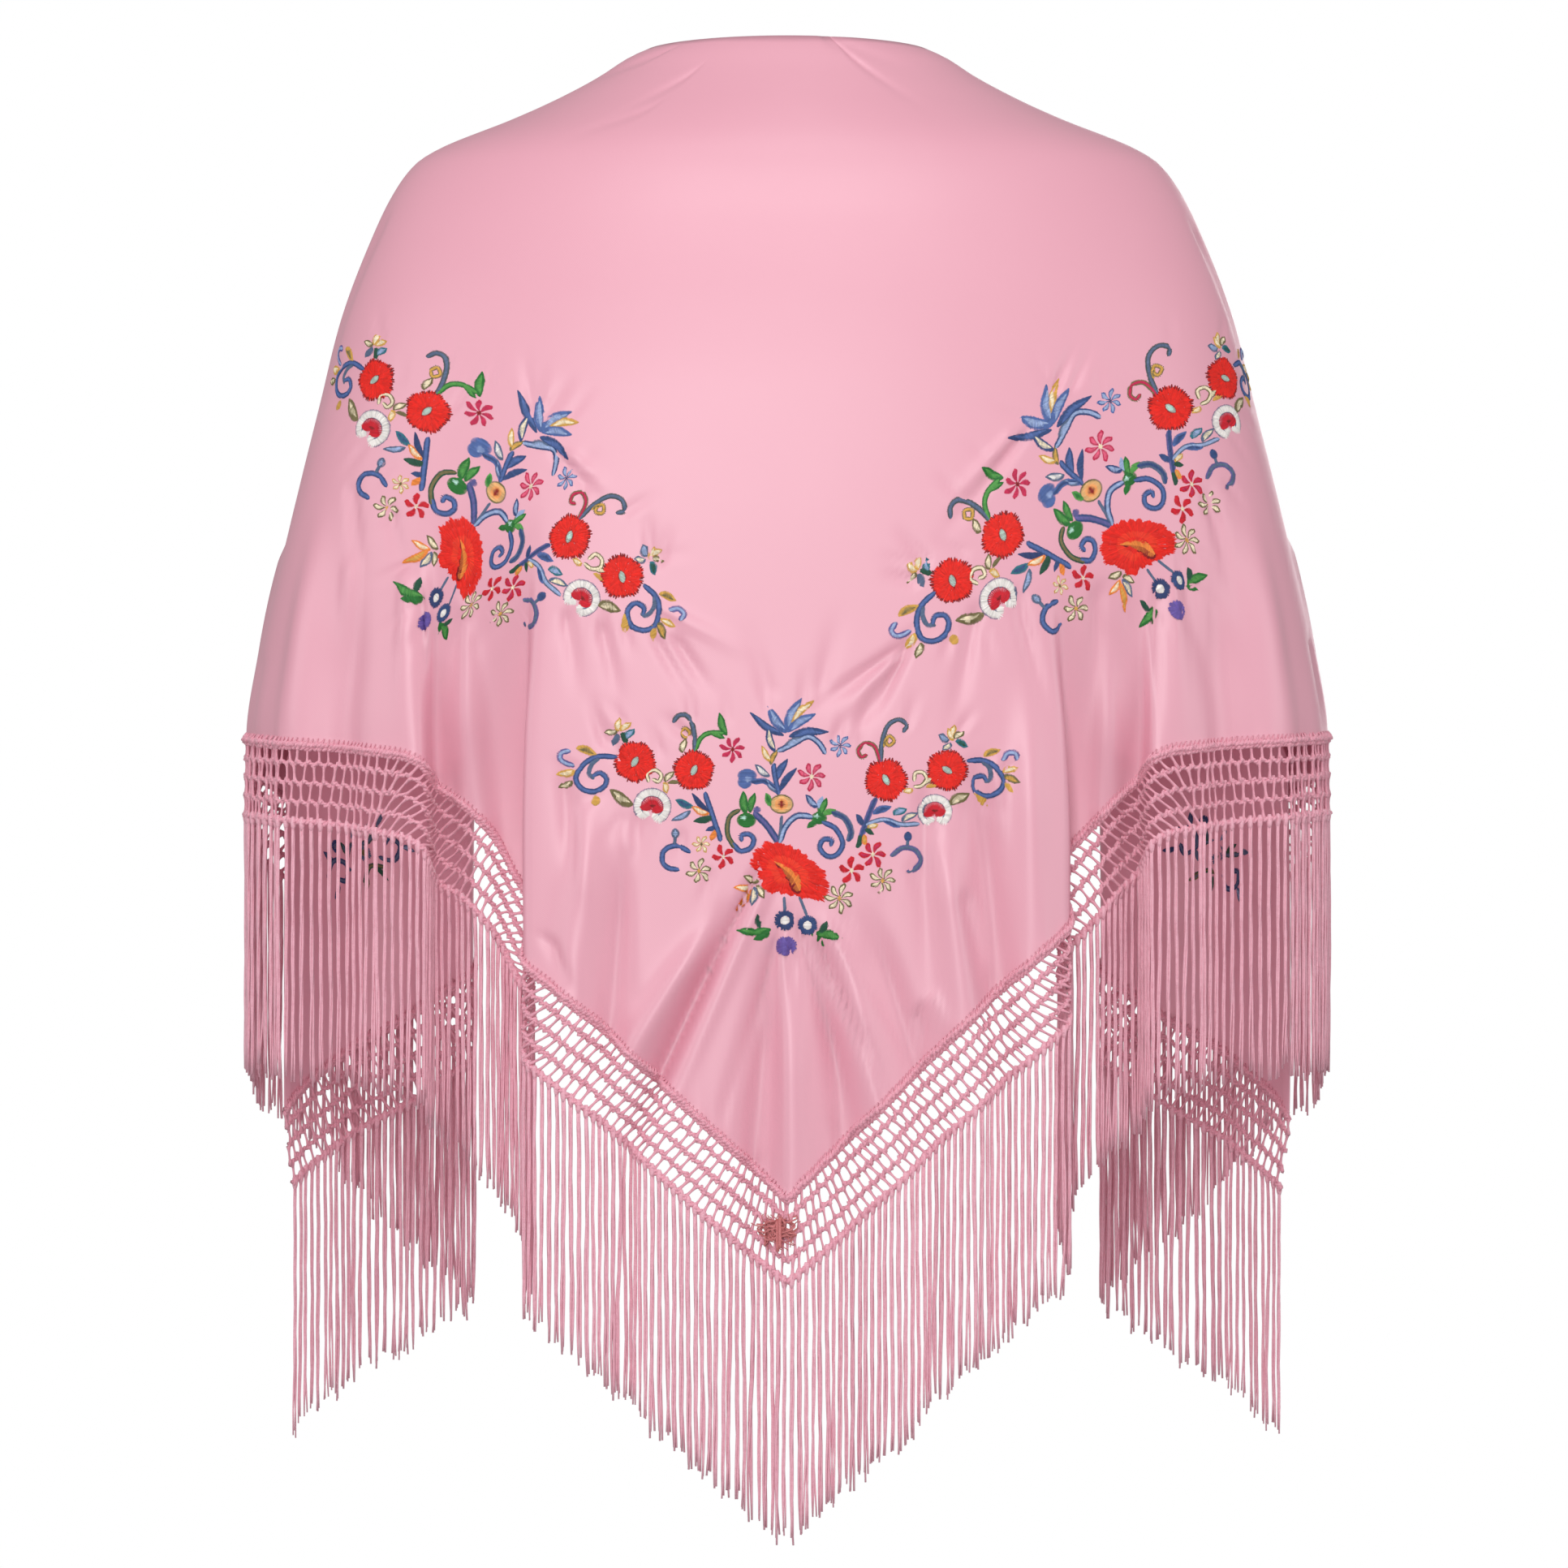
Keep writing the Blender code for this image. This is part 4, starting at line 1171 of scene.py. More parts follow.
# The design in drawing units from its middle, x right and y up.
# Leaves and petals: colour, inner colour, half width, foot x and y, tip x and y.
LEAVES = (
    # flowers over the outer poppies
    ("gold", "cream", 4.6, -207, 84, -206, 100), ("gold", "cream", 4.4, -204, 84, -192, 94),
    ("olive", "cream", 4.0, -209, 84, -224, 82), ("slate", "", 4.6, -209, 80, -214, 66),
    ("dark_green", "", 4.6, -204, 80, -196, 70), ("teal", "pale_blue", 4.8, -198, 74, -188, 86),
    ("slate", "pale_blue", 4.8, 197, 74, 185, 80), ("gold", "cream", 4.4, 201, 78, 204, 92),
    ("olive", "cream", 4.4, 204, 76, 216, 84), ("teal", "dark_green", 4.6, 206, 72, 220, 66),
    ("slate", "cream", 4.2, 199, 70, 190, 62), ("gold", "cream", 3.6, 203, 74, 196, 88),
    # buds and leaves beside the outer scrolls
    ("gold", "olive", 5.2, -258, 62, -234, 55), ("gold", "cream", 5.2, -261, 35, -282, 30),
    ("olive", "cream", 4.8, -264, 22, -280, 14), ("gold", "", 5.6, 229, 8, 246, -7),
    ("gold", "olive", 4.6, 241, 54, 260, 62), ("gold", "cream", 4.8, 264, 34, 282, 40),
    ("olive", "gold", 4.8, 264, 28, 284, 22), ("gold", "", 4.0, 262, 22, 276, 10),
    ("olive", "cream", 7.2, -190, -6, -217, 11), ("olive", "cream", 6.6, 199, -6, 222, 8),
    # between the poppies
    ("olive", "cream", 4.2, -150, 22, -140, 34), ("gold", "cream", 4.4, -152, 20, -148, 8),
    ("olive", "", 2.4, -146, 20, -132, 21), ("gold", "cream", 4.0, 152, 14, 142, 10),
    ("olive", "cream", 4.2, 168, 20, 178, 28), ("gold", "", 2.6, 170, 16, 184, 18),
    # over the inner poppies
    ("olive", "cream", 4.6, -129, 58, -126, 74), ("green", "leaf_green", 4.8, -75, 80, -84, 106),
    ("green", "leaf_green", 4.0, -96, 82, -78, 76), ("gold", "olive", 3.2, 118, 66, 122, 78),
    # plume
    ("steel", "blue", 4.6, -6, 80, -46, 107), ("blue", "pale_blue", 6.4, -2, 84, -25, 115),
    ("blue", "pale_blue", 6.0, -2, 86, 16, 125), ("gold", "cream", 5.0, 4, 96, 31, 122),
    ("blue", "pale_blue", 5.8, 0, 84, 33, 106), ("steel", "blue", 5.4, 2, 78, 49, 84),
    ("steel", "cream", 4.6, -16, 60, -25, 90), ("slate", "pale_blue", 5.0, -4, 62, 18, 78),
    ("gold", "cream", 3.8, -21, 48, -32, 66), ("olive", "gold", 3.4, -21, 44, -13, 62),
    ("slate", "white", 4.6, -23, 30, -40, 43), ("steel", "blue", 5.0, -14, 24, -1, 50),
    ("steel", "", 4.0, -9, 12, 10, 39), ("slate", "pale_blue", 3.4, -12, 10, -28, 26),
    # green buds
    ("green", "leaf_green", 5.4, -51, -16, -55, 10), ("green", "leaf_green", 4.8, -46, -15, -41, 8),
    ("green", "leaf_green", 5.0, 40, -18, 47, 2), ("steel", "pale_blue", 4.4, 36, -8, 22, 6),
    ("leaf_green", "", 4.2, 44, -18, 58, -12), ("green", "", 4.0, 34, -24, 24, -34),
    ("pale_blue", "", 3.4, 38, -10, 42, 4), ("leaf_green", "green", 4.2, -20, -6, -27, 8),
    # leafy side stems
    ("navy", "", 3.6, -97, -14, -117, 7), ("teal", "steel", 4.8, -117, -8, -137, -1),
    ("slate", "pale_blue", 3.8, -120, -14, -142, -26), ("orange", "cream", 4.4, -97, -17, -118, -9),
    ("dark_green", "", 4.4, -92, -20, -115, -27), ("steel", "", 3.2, -88, -32, -100, -38),
    ("blue", "steel", 4.6, 105, -17, 126, -8), ("blue", "steel", 4.6, 116, -25, 137, -33),
    ("teal", "pale_blue", 5.0, 130, -18, 145, -11), ("slate", "cream", 4.4, 140, -26, 158, -16),
    ("steel", "", 4.0, 94, -30, 84, -18), ("dark_green", "", 3.2, 93, -36, 105, -42),
    ("gold", "cream", 4.2, 98, -34, 110, -30), ("orange", "", 4.0, -90, -38, -94, -50),
    ("orange", "gold", 4.0, 96, -54, 92, -42),
    # round the big flower
    ("orange", "gold", 4.6, -46, -109, -64, -136), ("orange", "cream", 4.2, -44, -106, -66, -108),
    ("slate", "cream", 5.0, -41, -108, -44, -130), ("olive", "cream", 4.6, -36, -100, -54, -94),
    ("olive", "cream", 4.2, -38, -106, -30, -120),
    # leaves of the bottom sprig
    ("green", "leaf_green", 5.4, -22, -159, -62, -161), ("dark_green", "", 4.4, -34, -157, -38, -141),
    ("green", "", 4.8, -24, -162, -42, -172), ("green", "leaf_green", 5.6, 34, -165, 66, -170),
    ("dark_green", "", 4.4, 42, -165, 47, -150), ("green", "", 4.2, 28, -164, 44, -179),
)

# Scrolls and stems: colour, inner colour, half width, points.
CURLS = (
    ("steel", "blue", 3.2, ((-210, 52), (-233, 52), (-250, 42), (-259, 26), (-252, 13), (-237, 9),
                            (-224, 16), (-222, 26), (-230, 32), (-238, 28))),
    ("slate", "", 2.6, ((-232, 50), (-240, 42), (-243, 31), (-237, 26))),
    ("violet_grey", "pale_blue", 3.4, ((-267, 60), (-277, 56), (-277, 48), (-269, 43), (-262, 42))),
    ("steel", "blue", 3.2, ((220, 48), (238, 49), (253, 42), (264, 25), (259, 11), (244, 5),
                            (229, 13), (228, 26), (239, 30), (245, 24))),
    ("slate", "", 2.6, ((238, 48), (247, 40), (249, 27), (243, 22))),
    ("violet_grey", "pale_blue", 3.6, ((264, 49), (269, 57), (278, 58), (282, 51))),
    ("olive", "cream", 2.4, ((-170, 22), (-172, 31), (-163, 36), (-155, 30), (-158, 22), (-165, 24))),
    ("olive", "cream", 2.4, ((155, 24), (156, 33), (165, 34), (170, 26), (164, 18), (155, 16))),
    ("slate_green", "slate", 2.9, ((-114, 60), (-114, 75), (-117, 92), (-124, 103), (-134, 103),
                                  (-140, 95))),
    ("olive", "gold", 2.2, ((-131, 82), (-126, 88), (-120, 82), (-126, 76), (-131, 81))),
    ("green", "leaf_green", 2.8, ((-114, 60), (-107, 75), (-96, 82), (-80, 82))),
    ("slate_green", "slate", 2.7, ((114, 48), (115, 70), (122, 91), (135, 99), (145, 93), (142, 84))),
    ("olive", "crimson", 2.6, ((113, 48), (106, 66), (94, 70), (86, 61), (90, 53), (96, 56))),
    ("olive", "gold", 2.2, ((119, 73), (124, 79), (130, 73), (124, 67), (119, 72))),
    ("steel", "pale_blue", 3.4, ((-12, 60), (8, 70), (24, 78), (37, 71), (46, 58))),
    ("steel", "blue", 3.0, ((-18, 44), (-16, 28), (-11, 8))),
    ("blue", "steel", 3.4, ((-44, 22), (-28, 23), (-13, 11))),
    ("dark_green", "olive", 2.9, ((-60, -12), (-72, -22), (-74, -42), (-66, -58))),
    ("steel", "blue", 3.2, ((-68, -54), (-58, -63), (-46, -59), (-42, -49), (-48, -42), (-57, -44),
                            (-56, -50))),
    ("steel", "blue", 3.2, ((42, -27), (58, -35), (67, -53), (60, -67), (48, -69), (39, -59), (43, -49),
                            (53, -49), (53, -56))),
    ("slate", "steel", 3.8, ((54, -15), (69, -22), (77, -37), (75, -50))),
    ("steel", "violet_grey", 4.0, ((-42, -16), (-27, -30), (-13, -50))),
    ("slate", "", 1.8, ((-8, -20), (-9, -36), (-11, -52))),
    ("steel", "pale_blue", 3.8, ((29, -20), (10, -20), (-4, -34), (-10, -52))),
    ("steel", "blue", 3.2, ((-102, 8), (-95, -12), (-89, -30), (-82, -50))),
    ("violet_grey", "steel", 3.4, ((107, 2), (97, -23), (90, -44))),
    ("dark_green", "", 3.0, ((90, -42), (86, -58))),
    ("slate", "pale_blue", 2.8, ((96, -30), (117, -24), (139, -30), (160, -29))),
    ("steel", "blue", 3.1, ((-120, -64), (-138, -57), (-152, -64), (-153, -78), (-145, -85), (-134, -86))),
    ("slate", "", 1.6, ((-138, -44), (-139, -58))),
    ("violet_grey", "slate", 3.1, ((127, -69), (140, -59), (155, -61), (163, -73), (157, -84), (147, -89))),
    ("slate", "", 1.6, ((147, -48), (146, -60))),
    ("slate", "", 1.5, ((-5, -120), (-4, -136))),
    ("slate", "", 1.5, ((14, -119), (23, -142))),
)

# Poppies: x, y, radius, turn of the heart in degrees.
POPPIES = ((-187, 46, 25, -30), (-115, 36, 24.5, -24), (120, 25, 26, 28), (195, 37, 25, 58))

# Small flowers: x, y, colour, inner colour, size, petals, turn in degrees, heart colour.
STARS = (
    (-68, 62, "crimson", "", 16, 7, 10, "dark_red"), (29, 29, "crimson", "rose", 18, 7, 4, "cream"),
    (64, 67, "blue", "pale_blue", 14, 7, 0, "navy"), (-79, -70, "crimson_red", "", 15, 5, 40, "cream"),
    (78, -87, "crimson_red", "", 17, 5, 20, "cream"),
    (104, -67, "crimson_red", "crimson", 17, 6, 0, "cream"),
    (-109, -88, "olive", "cream", 16, 6, 15, "gold"), (116, -99, "olive", "cream", 17, 7, 0, "gold"),
    (63, -121, "olive", "cream", 19, 7, 20, "gold"), (-106, -55, "gold", "cream", 11, 6, 0, "olive"),
)

# Round shapes: x, y, half width, half height, colour, level.
OVALS = (
    (-235, -2, 6.0, 6.0, "gold", 0), (-51, -25, 12.0, 9.0, "green", 0), (-53, -22, 6.0, 2.6, "mint", 1),
    (-38, -12, 5.0, 4.0, "violet_grey", 0), (38, -22, 10.0, 7.5, "green", 0),
    (36, -20, 5.0, 2.6, "mint", 1),
    (-138, -42, 5.0, 6.0, "slate", 0), (-138, -42, 2.6, 3.4, "pale_blue", 1),
    (147, -45, 5.0, 6.0, "steel", 0),
    (-50, 30, 12.0, 8.0, "blue", 0), (-53, 22, 9.0, 8.0, "blue", 0), (-50, 26, 6.0, 4.0, "pale_blue", 1),
    (-8, -5, 15.0, 12.0, "olive", 0), (-8, -5, 13.0, 10.5, "peach", 1), (-8, -5, 8.0, 7.5, "orange", 2),
    (-8, -5, 5.0, 5.0, "dark_red", 3),
)

# Edge of the big flower: bearing from its middle in degrees, and distance.
FLOWER_MIDDLE = (0.0, -88.0)
FLOWER_EDGE = (
    (0, 44), (28, 31), (60, 29), (92, 33), (134, 46), (163, 48), (192, 35), (222, 37), (248, 28),
    (284, 31), (310, 45), (324, 58), (340, 54), (360, 44),
)


def big_flower(sewing):
    """The large scalloped flower below the middle, with an orange throat."""
    bearings, distances = np.array(FLOWER_EDGE, float).T
    middle = np.array(FLOWER_MIDDLE)
    for inner, outer, colour, count, level in (
        (0.74, 1.0, "red", 210, 0), (0.48, 0.80, "red", 160, 0.6), (0.24, 0.56, "bright_red", 110, 1.2),
        (0.03, 0.32, "red", 60, 1.8),
    ):
        count = int(count / sewing.coarse)
        angle = (np.arange(count) + sewing.chance.uniform(-0.3, 0.3, count)) * 2 * math.pi / count
        reach = smooth_lookup(np.degrees(angle) % 360, bearings, distances) + 1.5 * np.cos(17 * angle)
        way = np.stack([np.cos(angle), np.sin(angle)], axis=1)
        ragged = sewing.chance.uniform(0.96, 1.03, count)
        start = middle + way * (reach * inner * ragged)[:, None]
        end = middle + way * (reach * outer * ragged)[:, None]
        sewing.stitches(start, end, colour, level, THREAD_WIDTH * 1.25)
    sewing.satin([(-17, -77), (-6, -85), (6, -97), (14, -113)], 8.0, "dark_red", "petal", 0.5, 2.4)
    sewing.satin([(-16, -76), (-5, -84), (7, -96), (14, -111)], 6.4, "orange", "petal", 0.5, 3.2)


def ring_flower(sewing, x, y, radius, colour, heart):
    sewing.rays((x, y), radius * 0.42, radius, colour, 40, 1.4, 0.06)
    if heart:
        sewing.oval((x, y), radius * 0.42, radius * 0.42, heart, 2.2)
    else:
        sewing.rays((x, y), 0.5, radius * 0.6, colour, 24, 2.0, 0.08)


def whole_drawing(sewing):
    """A plume over a big flower, with poppies, scrolls and sprigs on both sides."""
    for row in POPPIES:
        poppy(sewing, *row)
    heart_flower(sewing, -166, -9, 23, -12)
    heart_flower(sewing, 180, -14, 21.5, 4)
    for colour, inner, half_width, points in CURLS:
        sewing.satin(points, half_width, colour, "band", 0.55)
        if inner:
            sewing.satin(points, half_width * 0.45, inner, "band", 0.8, 1)
    for row in LEAVES:
        leaf(sewing, *row)
    for row in STARS:
        star(sewing, *row)
    for x, y, half_width, half_height, colour, level in OVALS:
        sewing.oval((x, y), half_width, half_height, colour, level)
    big_flower(sewing)
    ring_flower(sewing, -4, -148, 12.5, "navy", "white")
    ring_flower(sewing, 24, -154, 12, "steel", "white")
    ring_flower(sewing, -2, -180, 12, "violet", "")


# The sprays on the hidden ends, which show only in bits through the fringe. They are sewn only in dark
# threads, whose darkness is painted shade over the threads' own hues: colour, inner colour, half width,
# points.
END_CURLS = (
    ("navy", "slate", 3.4, ((-120, 10), (-84, 30), (-50, 8), (-66, -18), (-90, -8))),
    ("slate_green", "slate", 3.4, ((-44, 12), (-10, 34), (30, 22), (70, 38))),
    ("navy", "slate", 3.4, ((40, -16), (72, -34), (100, -16), (88, 8), (66, 0))),
    ("dark_green", "olive", 3.0, ((-20, -44), (10, -22), (44, -38))),
)
END_LEAVES = (
    ("dark_green", "slate", 7.0, -30, 22, -44, 52), ("slate", "pale_blue", 7.0, 0, 30, 8, 62),
    ("dark_green", "", 7.0, 34, 24, 52, 52), ("navy", "slate", 7.0, -84, 34, -104, 58),
    ("slate", "", 6.0, 70, 40, 98, 54), ("olive", "slate", 6.0, -8, -30, -30, -62),
    ("dark_green", "", 6.0, 20, -28, 34, -62), ("slate", "pale_blue", 6.0, 104, -20, 128, -38),
    ("navy", "", 6.0, -94, -16, -122, -34), ("slate", "", 5.0, -50, -4, -28, -18),
)


def end_drawing(sewing):
    """A spray of scrolls and leaves, sewn only in dark threads as painted shade."""
    for colour, inner, half_width, points in END_CURLS:
        sewing.satin(points, half_width * 1.5, colour, "band", 0.55)
        sewing.satin(points, half_width * 0.7, inner, "band", 0.8, 1)
    for row in END_LEAVES:
        leaf(sewing, *row)
    ring_flower(sewing, 12, 6, 16, "slate", "olive")
    ring_flower(sewing, -62, 52, 13, "navy", "slate")


def make_embroidery(name, drawing, stations, size, material, seed, coarse=1.0):
    sewing = Sewing(seed, coarse)
    drawing(sewing)
    return sewing.surface(name, stations, size, material)


# The tangle of yarn that ties the two strips of net together near the point of the back
KNOT_RUN = -0.0055
KNOT_HEIGHT = -0.6055
KNOT_LOOPS = 12
KNOT_LOOP_POINTS = 30
KNOT_HALF_WIDTH = 0.0092
KNOT_HALF_HEIGHT = 0.0062
KNOT_LIFT = 0.0022
KNOT_YARN_RADIUS = 0.00050
KNOT_STUB_RUNS = (-0.0022, -0.0008)
KNOT_STUB_TOP = -0.600
KNOT_STUB_LENGTH = 0.0165
KNOT_STUB_LIFT = 0.0040
KNOT_STUB_RADIUS = 0.0010
KNOT_HAIRS = 70
KNOT_HAIR_LENGTH = 0.0062
KNOT_HAIR_RADIUS = 0.00030


def tubes_on_cloth(run, height, lift, radius, sides):
    """Tubes that follow the cloth at these runs and heights, lifted off it."""
    facing = cloth_normals(run, height)
    paths = cloth_points(run, height) + facing * lift
    return tubes(paths, facing, np.full(paths.shape[:2], radius), sides)


def knot_loops(chance):
    t = np.linspace(0, 1, KNOT_LOOP_POINTS)[None, :]
    turn = 2 * math.pi * t
    phase = chance.uniform(0, 2 * math.pi, (KNOT_LOOPS, 3))
    reach = chance.uniform(0.25, 1.0, (KNOT_LOOPS, 2))
    wide = KNOT_HALF_WIDTH * reach[:, :1] * np.sin(turn + phase[:, :1])
    tall = KNOT_HALF_HEIGHT * reach[:, 1:] * np.cos(turn + phase[:, 2:])
    run = KNOT_RUN + wide + 0.0020 * np.sin(2 * turn + phase[:, 1:2])
    height = KNOT_HEIGHT + 0.35 * wide + tall
    lift = KNOT_LIFT + 0.0016 * np.sin(3 * turn + phase[:, :1])
    return tubes_on_cloth(run, height, lift[..., None], KNOT_YARN_RADIUS, 5)


def knot_stub():
    """Two short dark ends that hang from the tangle."""
    run = np.full((2, 8), 0.0) + np.array(KNOT_STUB_RUNS)[:, None]
    fall = np.linspace(KNOT_STUB_TOP, KNOT_STUB_TOP - KNOT_STUB_LENGTH, 8)
    height = fall[None, :] + np.array([[0.0], [0.002]])
    return tubes_on_cloth(run, height, KNOT_STUB_LIFT, KNOT_STUB_RADIUS, 5)


def knot_hairs(chance):
    start = np.stack(
        [
            KNOT_RUN + chance.normal(0, 0.0040, KNOT_HAIRS),
            KNOT_HEIGHT + chance.normal(0, 0.0028, KNOT_HAIRS),
        ],
        axis=1,
    )
    bearing = chance.uniform(0, 2 * math.pi, KNOT_HAIRS)
    way = np.stack([np.cos(bearing), np.sin(bearing)], axis=1)[:, None, :]
    aside = np.stack([-np.sin(bearing), np.cos(bearing)], axis=1)[:, None, :]
    share = np.linspace(0, 1, 5)[None, :, None]
    bend = aside * chance.normal(0, 0.0012, (KNOT_HAIRS, 1, 1))
    hair = start[:, None, :] + way * share * KNOT_HAIR_LENGTH + bend * np.sin(math.pi * share)
    lift = 0.0020 + 0.0030 * share * chance.uniform(0, 1, (KNOT_HAIRS, 1, 1))
    return tubes_on_cloth(hair[..., 0], hair[..., 1], lift, KNOT_HAIR_RADIUS, 4)


def make_point_knot(material, chance):
    parts = [knot_loops(chance), knot_stub(), knot_hairs(chance)]
    return piece("point_knot", quad_mesh("point_knot", *join(parts)), material)


def new_material(name):
    """A material with its nodes, a link function and its shader."""
    material = bpy.data.materials.new(name)
    material.use_nodes = True
    nodes = material.node_tree.nodes
    return material, nodes, material.node_tree.links.new, nodes["Principled BSDF"]


def set_inputs(node, values):
    for name, value in values.items():
        node.inputs[name].default_value = value


# Dark and light colour of each material; in the satin a tone that differs at random
SATIN_COLOURS = ((0.750, 0.337, 0.428), (0.780, 0.367, 0.456))
# In the yarns the dark colour is painted shade in the grooves of the twist and the light one a painted
# highlight on its crowns, both mixed with a tone that differs at random
NET_TONE_AND_SHADE = ((0.64, 0.215, 0.300), (0.86, 0.415, 0.505))
FRINGE_TONE_AND_SHADE = ((0.72, 0.285, 0.375), (0.89, 0.480, 0.570))
KNOT_TONE_AND_SHADE = ((0.44, 0.090, 0.085), (0.68, 0.230, 0.235))


def noise_node(nodes, scale, detail):
    noise = nodes.new("ShaderNodeTexNoise")
    set_inputs(noise, {"Scale": scale, "Detail": detail})
    return noise


def twist_node(nodes, values):
    """Slanting bands, as of a twill or a twisted yarn."""
    bands = nodes.new("ShaderNodeTexWave")
    bands.bands_direction = "DIAGONAL"
    set_inputs(bands, values)
    return bands


def scaled_place(nodes, link, place, scale):
    """The given coordinates, each times its own factor."""
    scaled = nodes.new("ShaderNodeMapping")
    set_inputs(scaled, {"Scale": scale})
    link(place, scaled.inputs["Vector"])
    return scaled.outputs["Vector"]


def colour_ramp(nodes, dark, light, start=0.0, end=1.0):
    ramp = nodes.new("ShaderNodeValToRGB")
    ramp.color_ramp.elements[0].color = (*dark, 1.0)
    ramp.color_ramp.elements[0].position = start
    ramp.color_ramp.elements[1].color = (*light, 1.0)
    ramp.color_ramp.elements[1].position = end
    return ramp


def add_relief(nodes, link, shader, height, strength, depth):
    relief = nodes.new("ShaderNodeBump")
    set_inputs(relief, {"Strength": strength, "Distance": depth})
    link(height, relief.inputs["Height"])
    link(relief.outputs["Normal"], shader.inputs["Normal"])


def satin_material():
    """Soft crepe-backed satin: a fine twill, faint slubs, and a broad sheen."""
    material, nodes, link, shader = new_material("pink_satin")
    set_inputs(shader, {
        "Roughness": 0.45, "Specular IOR Level": 0.90, "Anisotropic": 0.20,
        "Sheen Weight": 0.04, "Sheen Roughness": 0.35, "Sheen Tint": (1.0, 0.86, 0.90, 1.0),
    })
    place = nodes.new("ShaderNodeTexCoord")
    broad = noise_node(nodes, 9.0, 3.0)
    ramp = colour_ramp(nodes, *SATIN_COLOURS)
    link(place.outputs["Object"], broad.inputs["Vector"])
    link(broad.outputs["Fac"], ramp.inputs["Fac"])
    link(ramp.outputs["Color"], shader.inputs["Base Color"])
    twill = twist_node(nodes, {"Scale": 560.0, "Distortion": 1.2, "Detail": 1.0})
    crepe = noise_node(nodes, 900.0, 2.0)
    link(place.outputs["UV"], twill.inputs["Vector"])
    link(place.outputs["Object"], crepe.inputs["Vector"])
    both = nodes.new("ShaderNodeMath")
    both.operation = "ADD"
    link(twill.outputs["Fac"], both.inputs[0])
    link(crepe.outputs["Fac"], both.inputs[1])
    add_relief(nodes, link, shader, both.outputs["Value"], 0.10, 0.00012)
    return material


def yarn_material(name, dark, light, roughness):
    """Twisted viscose yarn: fine fibre twist along a spiral in its relief, and in its colour a painted
    highlight on the crowns of the twist and painted shade in its grooves, over a tone that differs at
    random.
    """
    material, nodes, link, shader = new_material(name)
    set_inputs(shader, {
        "Roughness": roughness, "Specular IOR Level": 0.30, "Sheen Weight": 0.20,
        "Sheen Roughness": 0.4, "Sheen Tint": (1.0, 0.84, 0.88, 1.0),
    })
    place = nodes.new("ShaderNodeTexCoord")
    fibre_twist_and_shade = twist_node(nodes, {"Scale": 1.6, "Distortion": 2.0, "Detail": 2.0, "Detail Scale": 2.0})
    link(scaled_place(nodes, link, place.outputs["UV"], (1.0, 620.0, 1.0)), fibre_twist_and_shade.inputs["Vector"])
    patches = noise_node(nodes, 420.0, 4.0)
    link(place.outputs["Object"], patches.inputs["Vector"])
    blend = nodes.new("ShaderNodeMath")
    blend.operation = "MULTIPLY_ADD"
    set_inputs(blend, {1: 0.5})
    link(fibre_twist_and_shade.outputs["Fac"], blend.inputs[0])
    link(patches.outputs["Fac"], blend.inputs[2])
    # The twist's bands paint shade into the grooves and a highlight onto the crowns of the yarn, mixed with
    # random tone from the patches
    ramp = colour_ramp(nodes, dark, light, 0.25, 0.85)
    link(blend.outputs["Value"], ramp.inputs["Fac"])
    link(ramp.outputs["Color"], shader.inputs["Base Color"])
    add_relief(nodes, link, shader, blend.outputs["Value"], 0.6, 0.0003)
    return material


def thread_material():
    """Glossy embroidery thread in the colour of each stitch."""
    material, nodes, link, shader = new_material("embroidery_thread")
    set_inputs(shader, {"Roughness": 0.46, "Specular IOR Level": 0.28, "Anisotropic": 0.5})
    colour = nodes.new("ShaderNodeVertexColor")
    colour.layer_name = "thread"
    place = nodes.new("ShaderNodeTexCoord")
    patches = noise_node(nodes, 420.0, 2.0)
    value = nodes.new("ShaderNodeMapRange")
    set_inputs(value, {"To Min": 0.82, "To Max": 1.14})
    tone = nodes.new("ShaderNodeHueSaturation")
    link(place.outputs["Object"], patches.inputs["Vector"])
    link(patches.outputs["Fac"], value.inputs["Value"])
    link(value.outputs["Result"], tone.inputs["Value"])
    link(colour.outputs["Color"], tone.inputs["Color"])
    link(tone.outputs["Color"], shader.inputs["Base Color"])
    twist = twist_node(nodes, {"Scale": 1.0, "Distortion": 1.0})
    link(scaled_place(nodes, link, place.outputs["UV"], (1.0, 1500.0, 1.0)), twist.inputs["Vector"])
    add_relief(nodes, link, shader, twist.outputs["Fac"], 0.35, 0.0001)
    return material


# The studio: places and sizes in metres, powers in watts
CAMERA_PLACE = (-0.0018, -3.6, -0.3635)
CAMERA_LENS = 146.9
FLOOR_HEIGHT = -0.86
FLOOR_HALF = 0.9
AMBIENT = 0.38
KEY_POWER = 38
SIDE_POWER = 23
FRONT_POWER = 36
TOP_POWER = 26


def make_camera():
    camera = bpy.data.objects.new("camera", bpy.data.cameras.new("camera"))
    camera.location = CAMERA_PLACE
    camera.rotation_euler = (math.pi / 2, 0, 0)
    camera.data.lens = CAMERA_LENS
    camera.data.sensor_width = 36
    bpy.context.scene.collection.objects.link(camera)
    bpy.context.scene.camera = camera


def soft_light(name, place, target, size, power, colour=(1.0, 1.0, 1.0)):
    light = bpy.data.lights.new(name, "AREA")
    light.shape = "SQUARE"
    light.size = size
    light.energy = power
    light.color = colour
    made = bpy.data.objects.new(name, light)
    made.location = place
    way = np.array(target) - np.array(place)
    flat = math.hypot(way[0], way[1])
    made.rotation_euler = (math.atan2(flat, -way[2]), 0, math.atan2(way[1], way[0]) - math.pi / 2)
    bpy.context.scene.collection.objects.link(made)


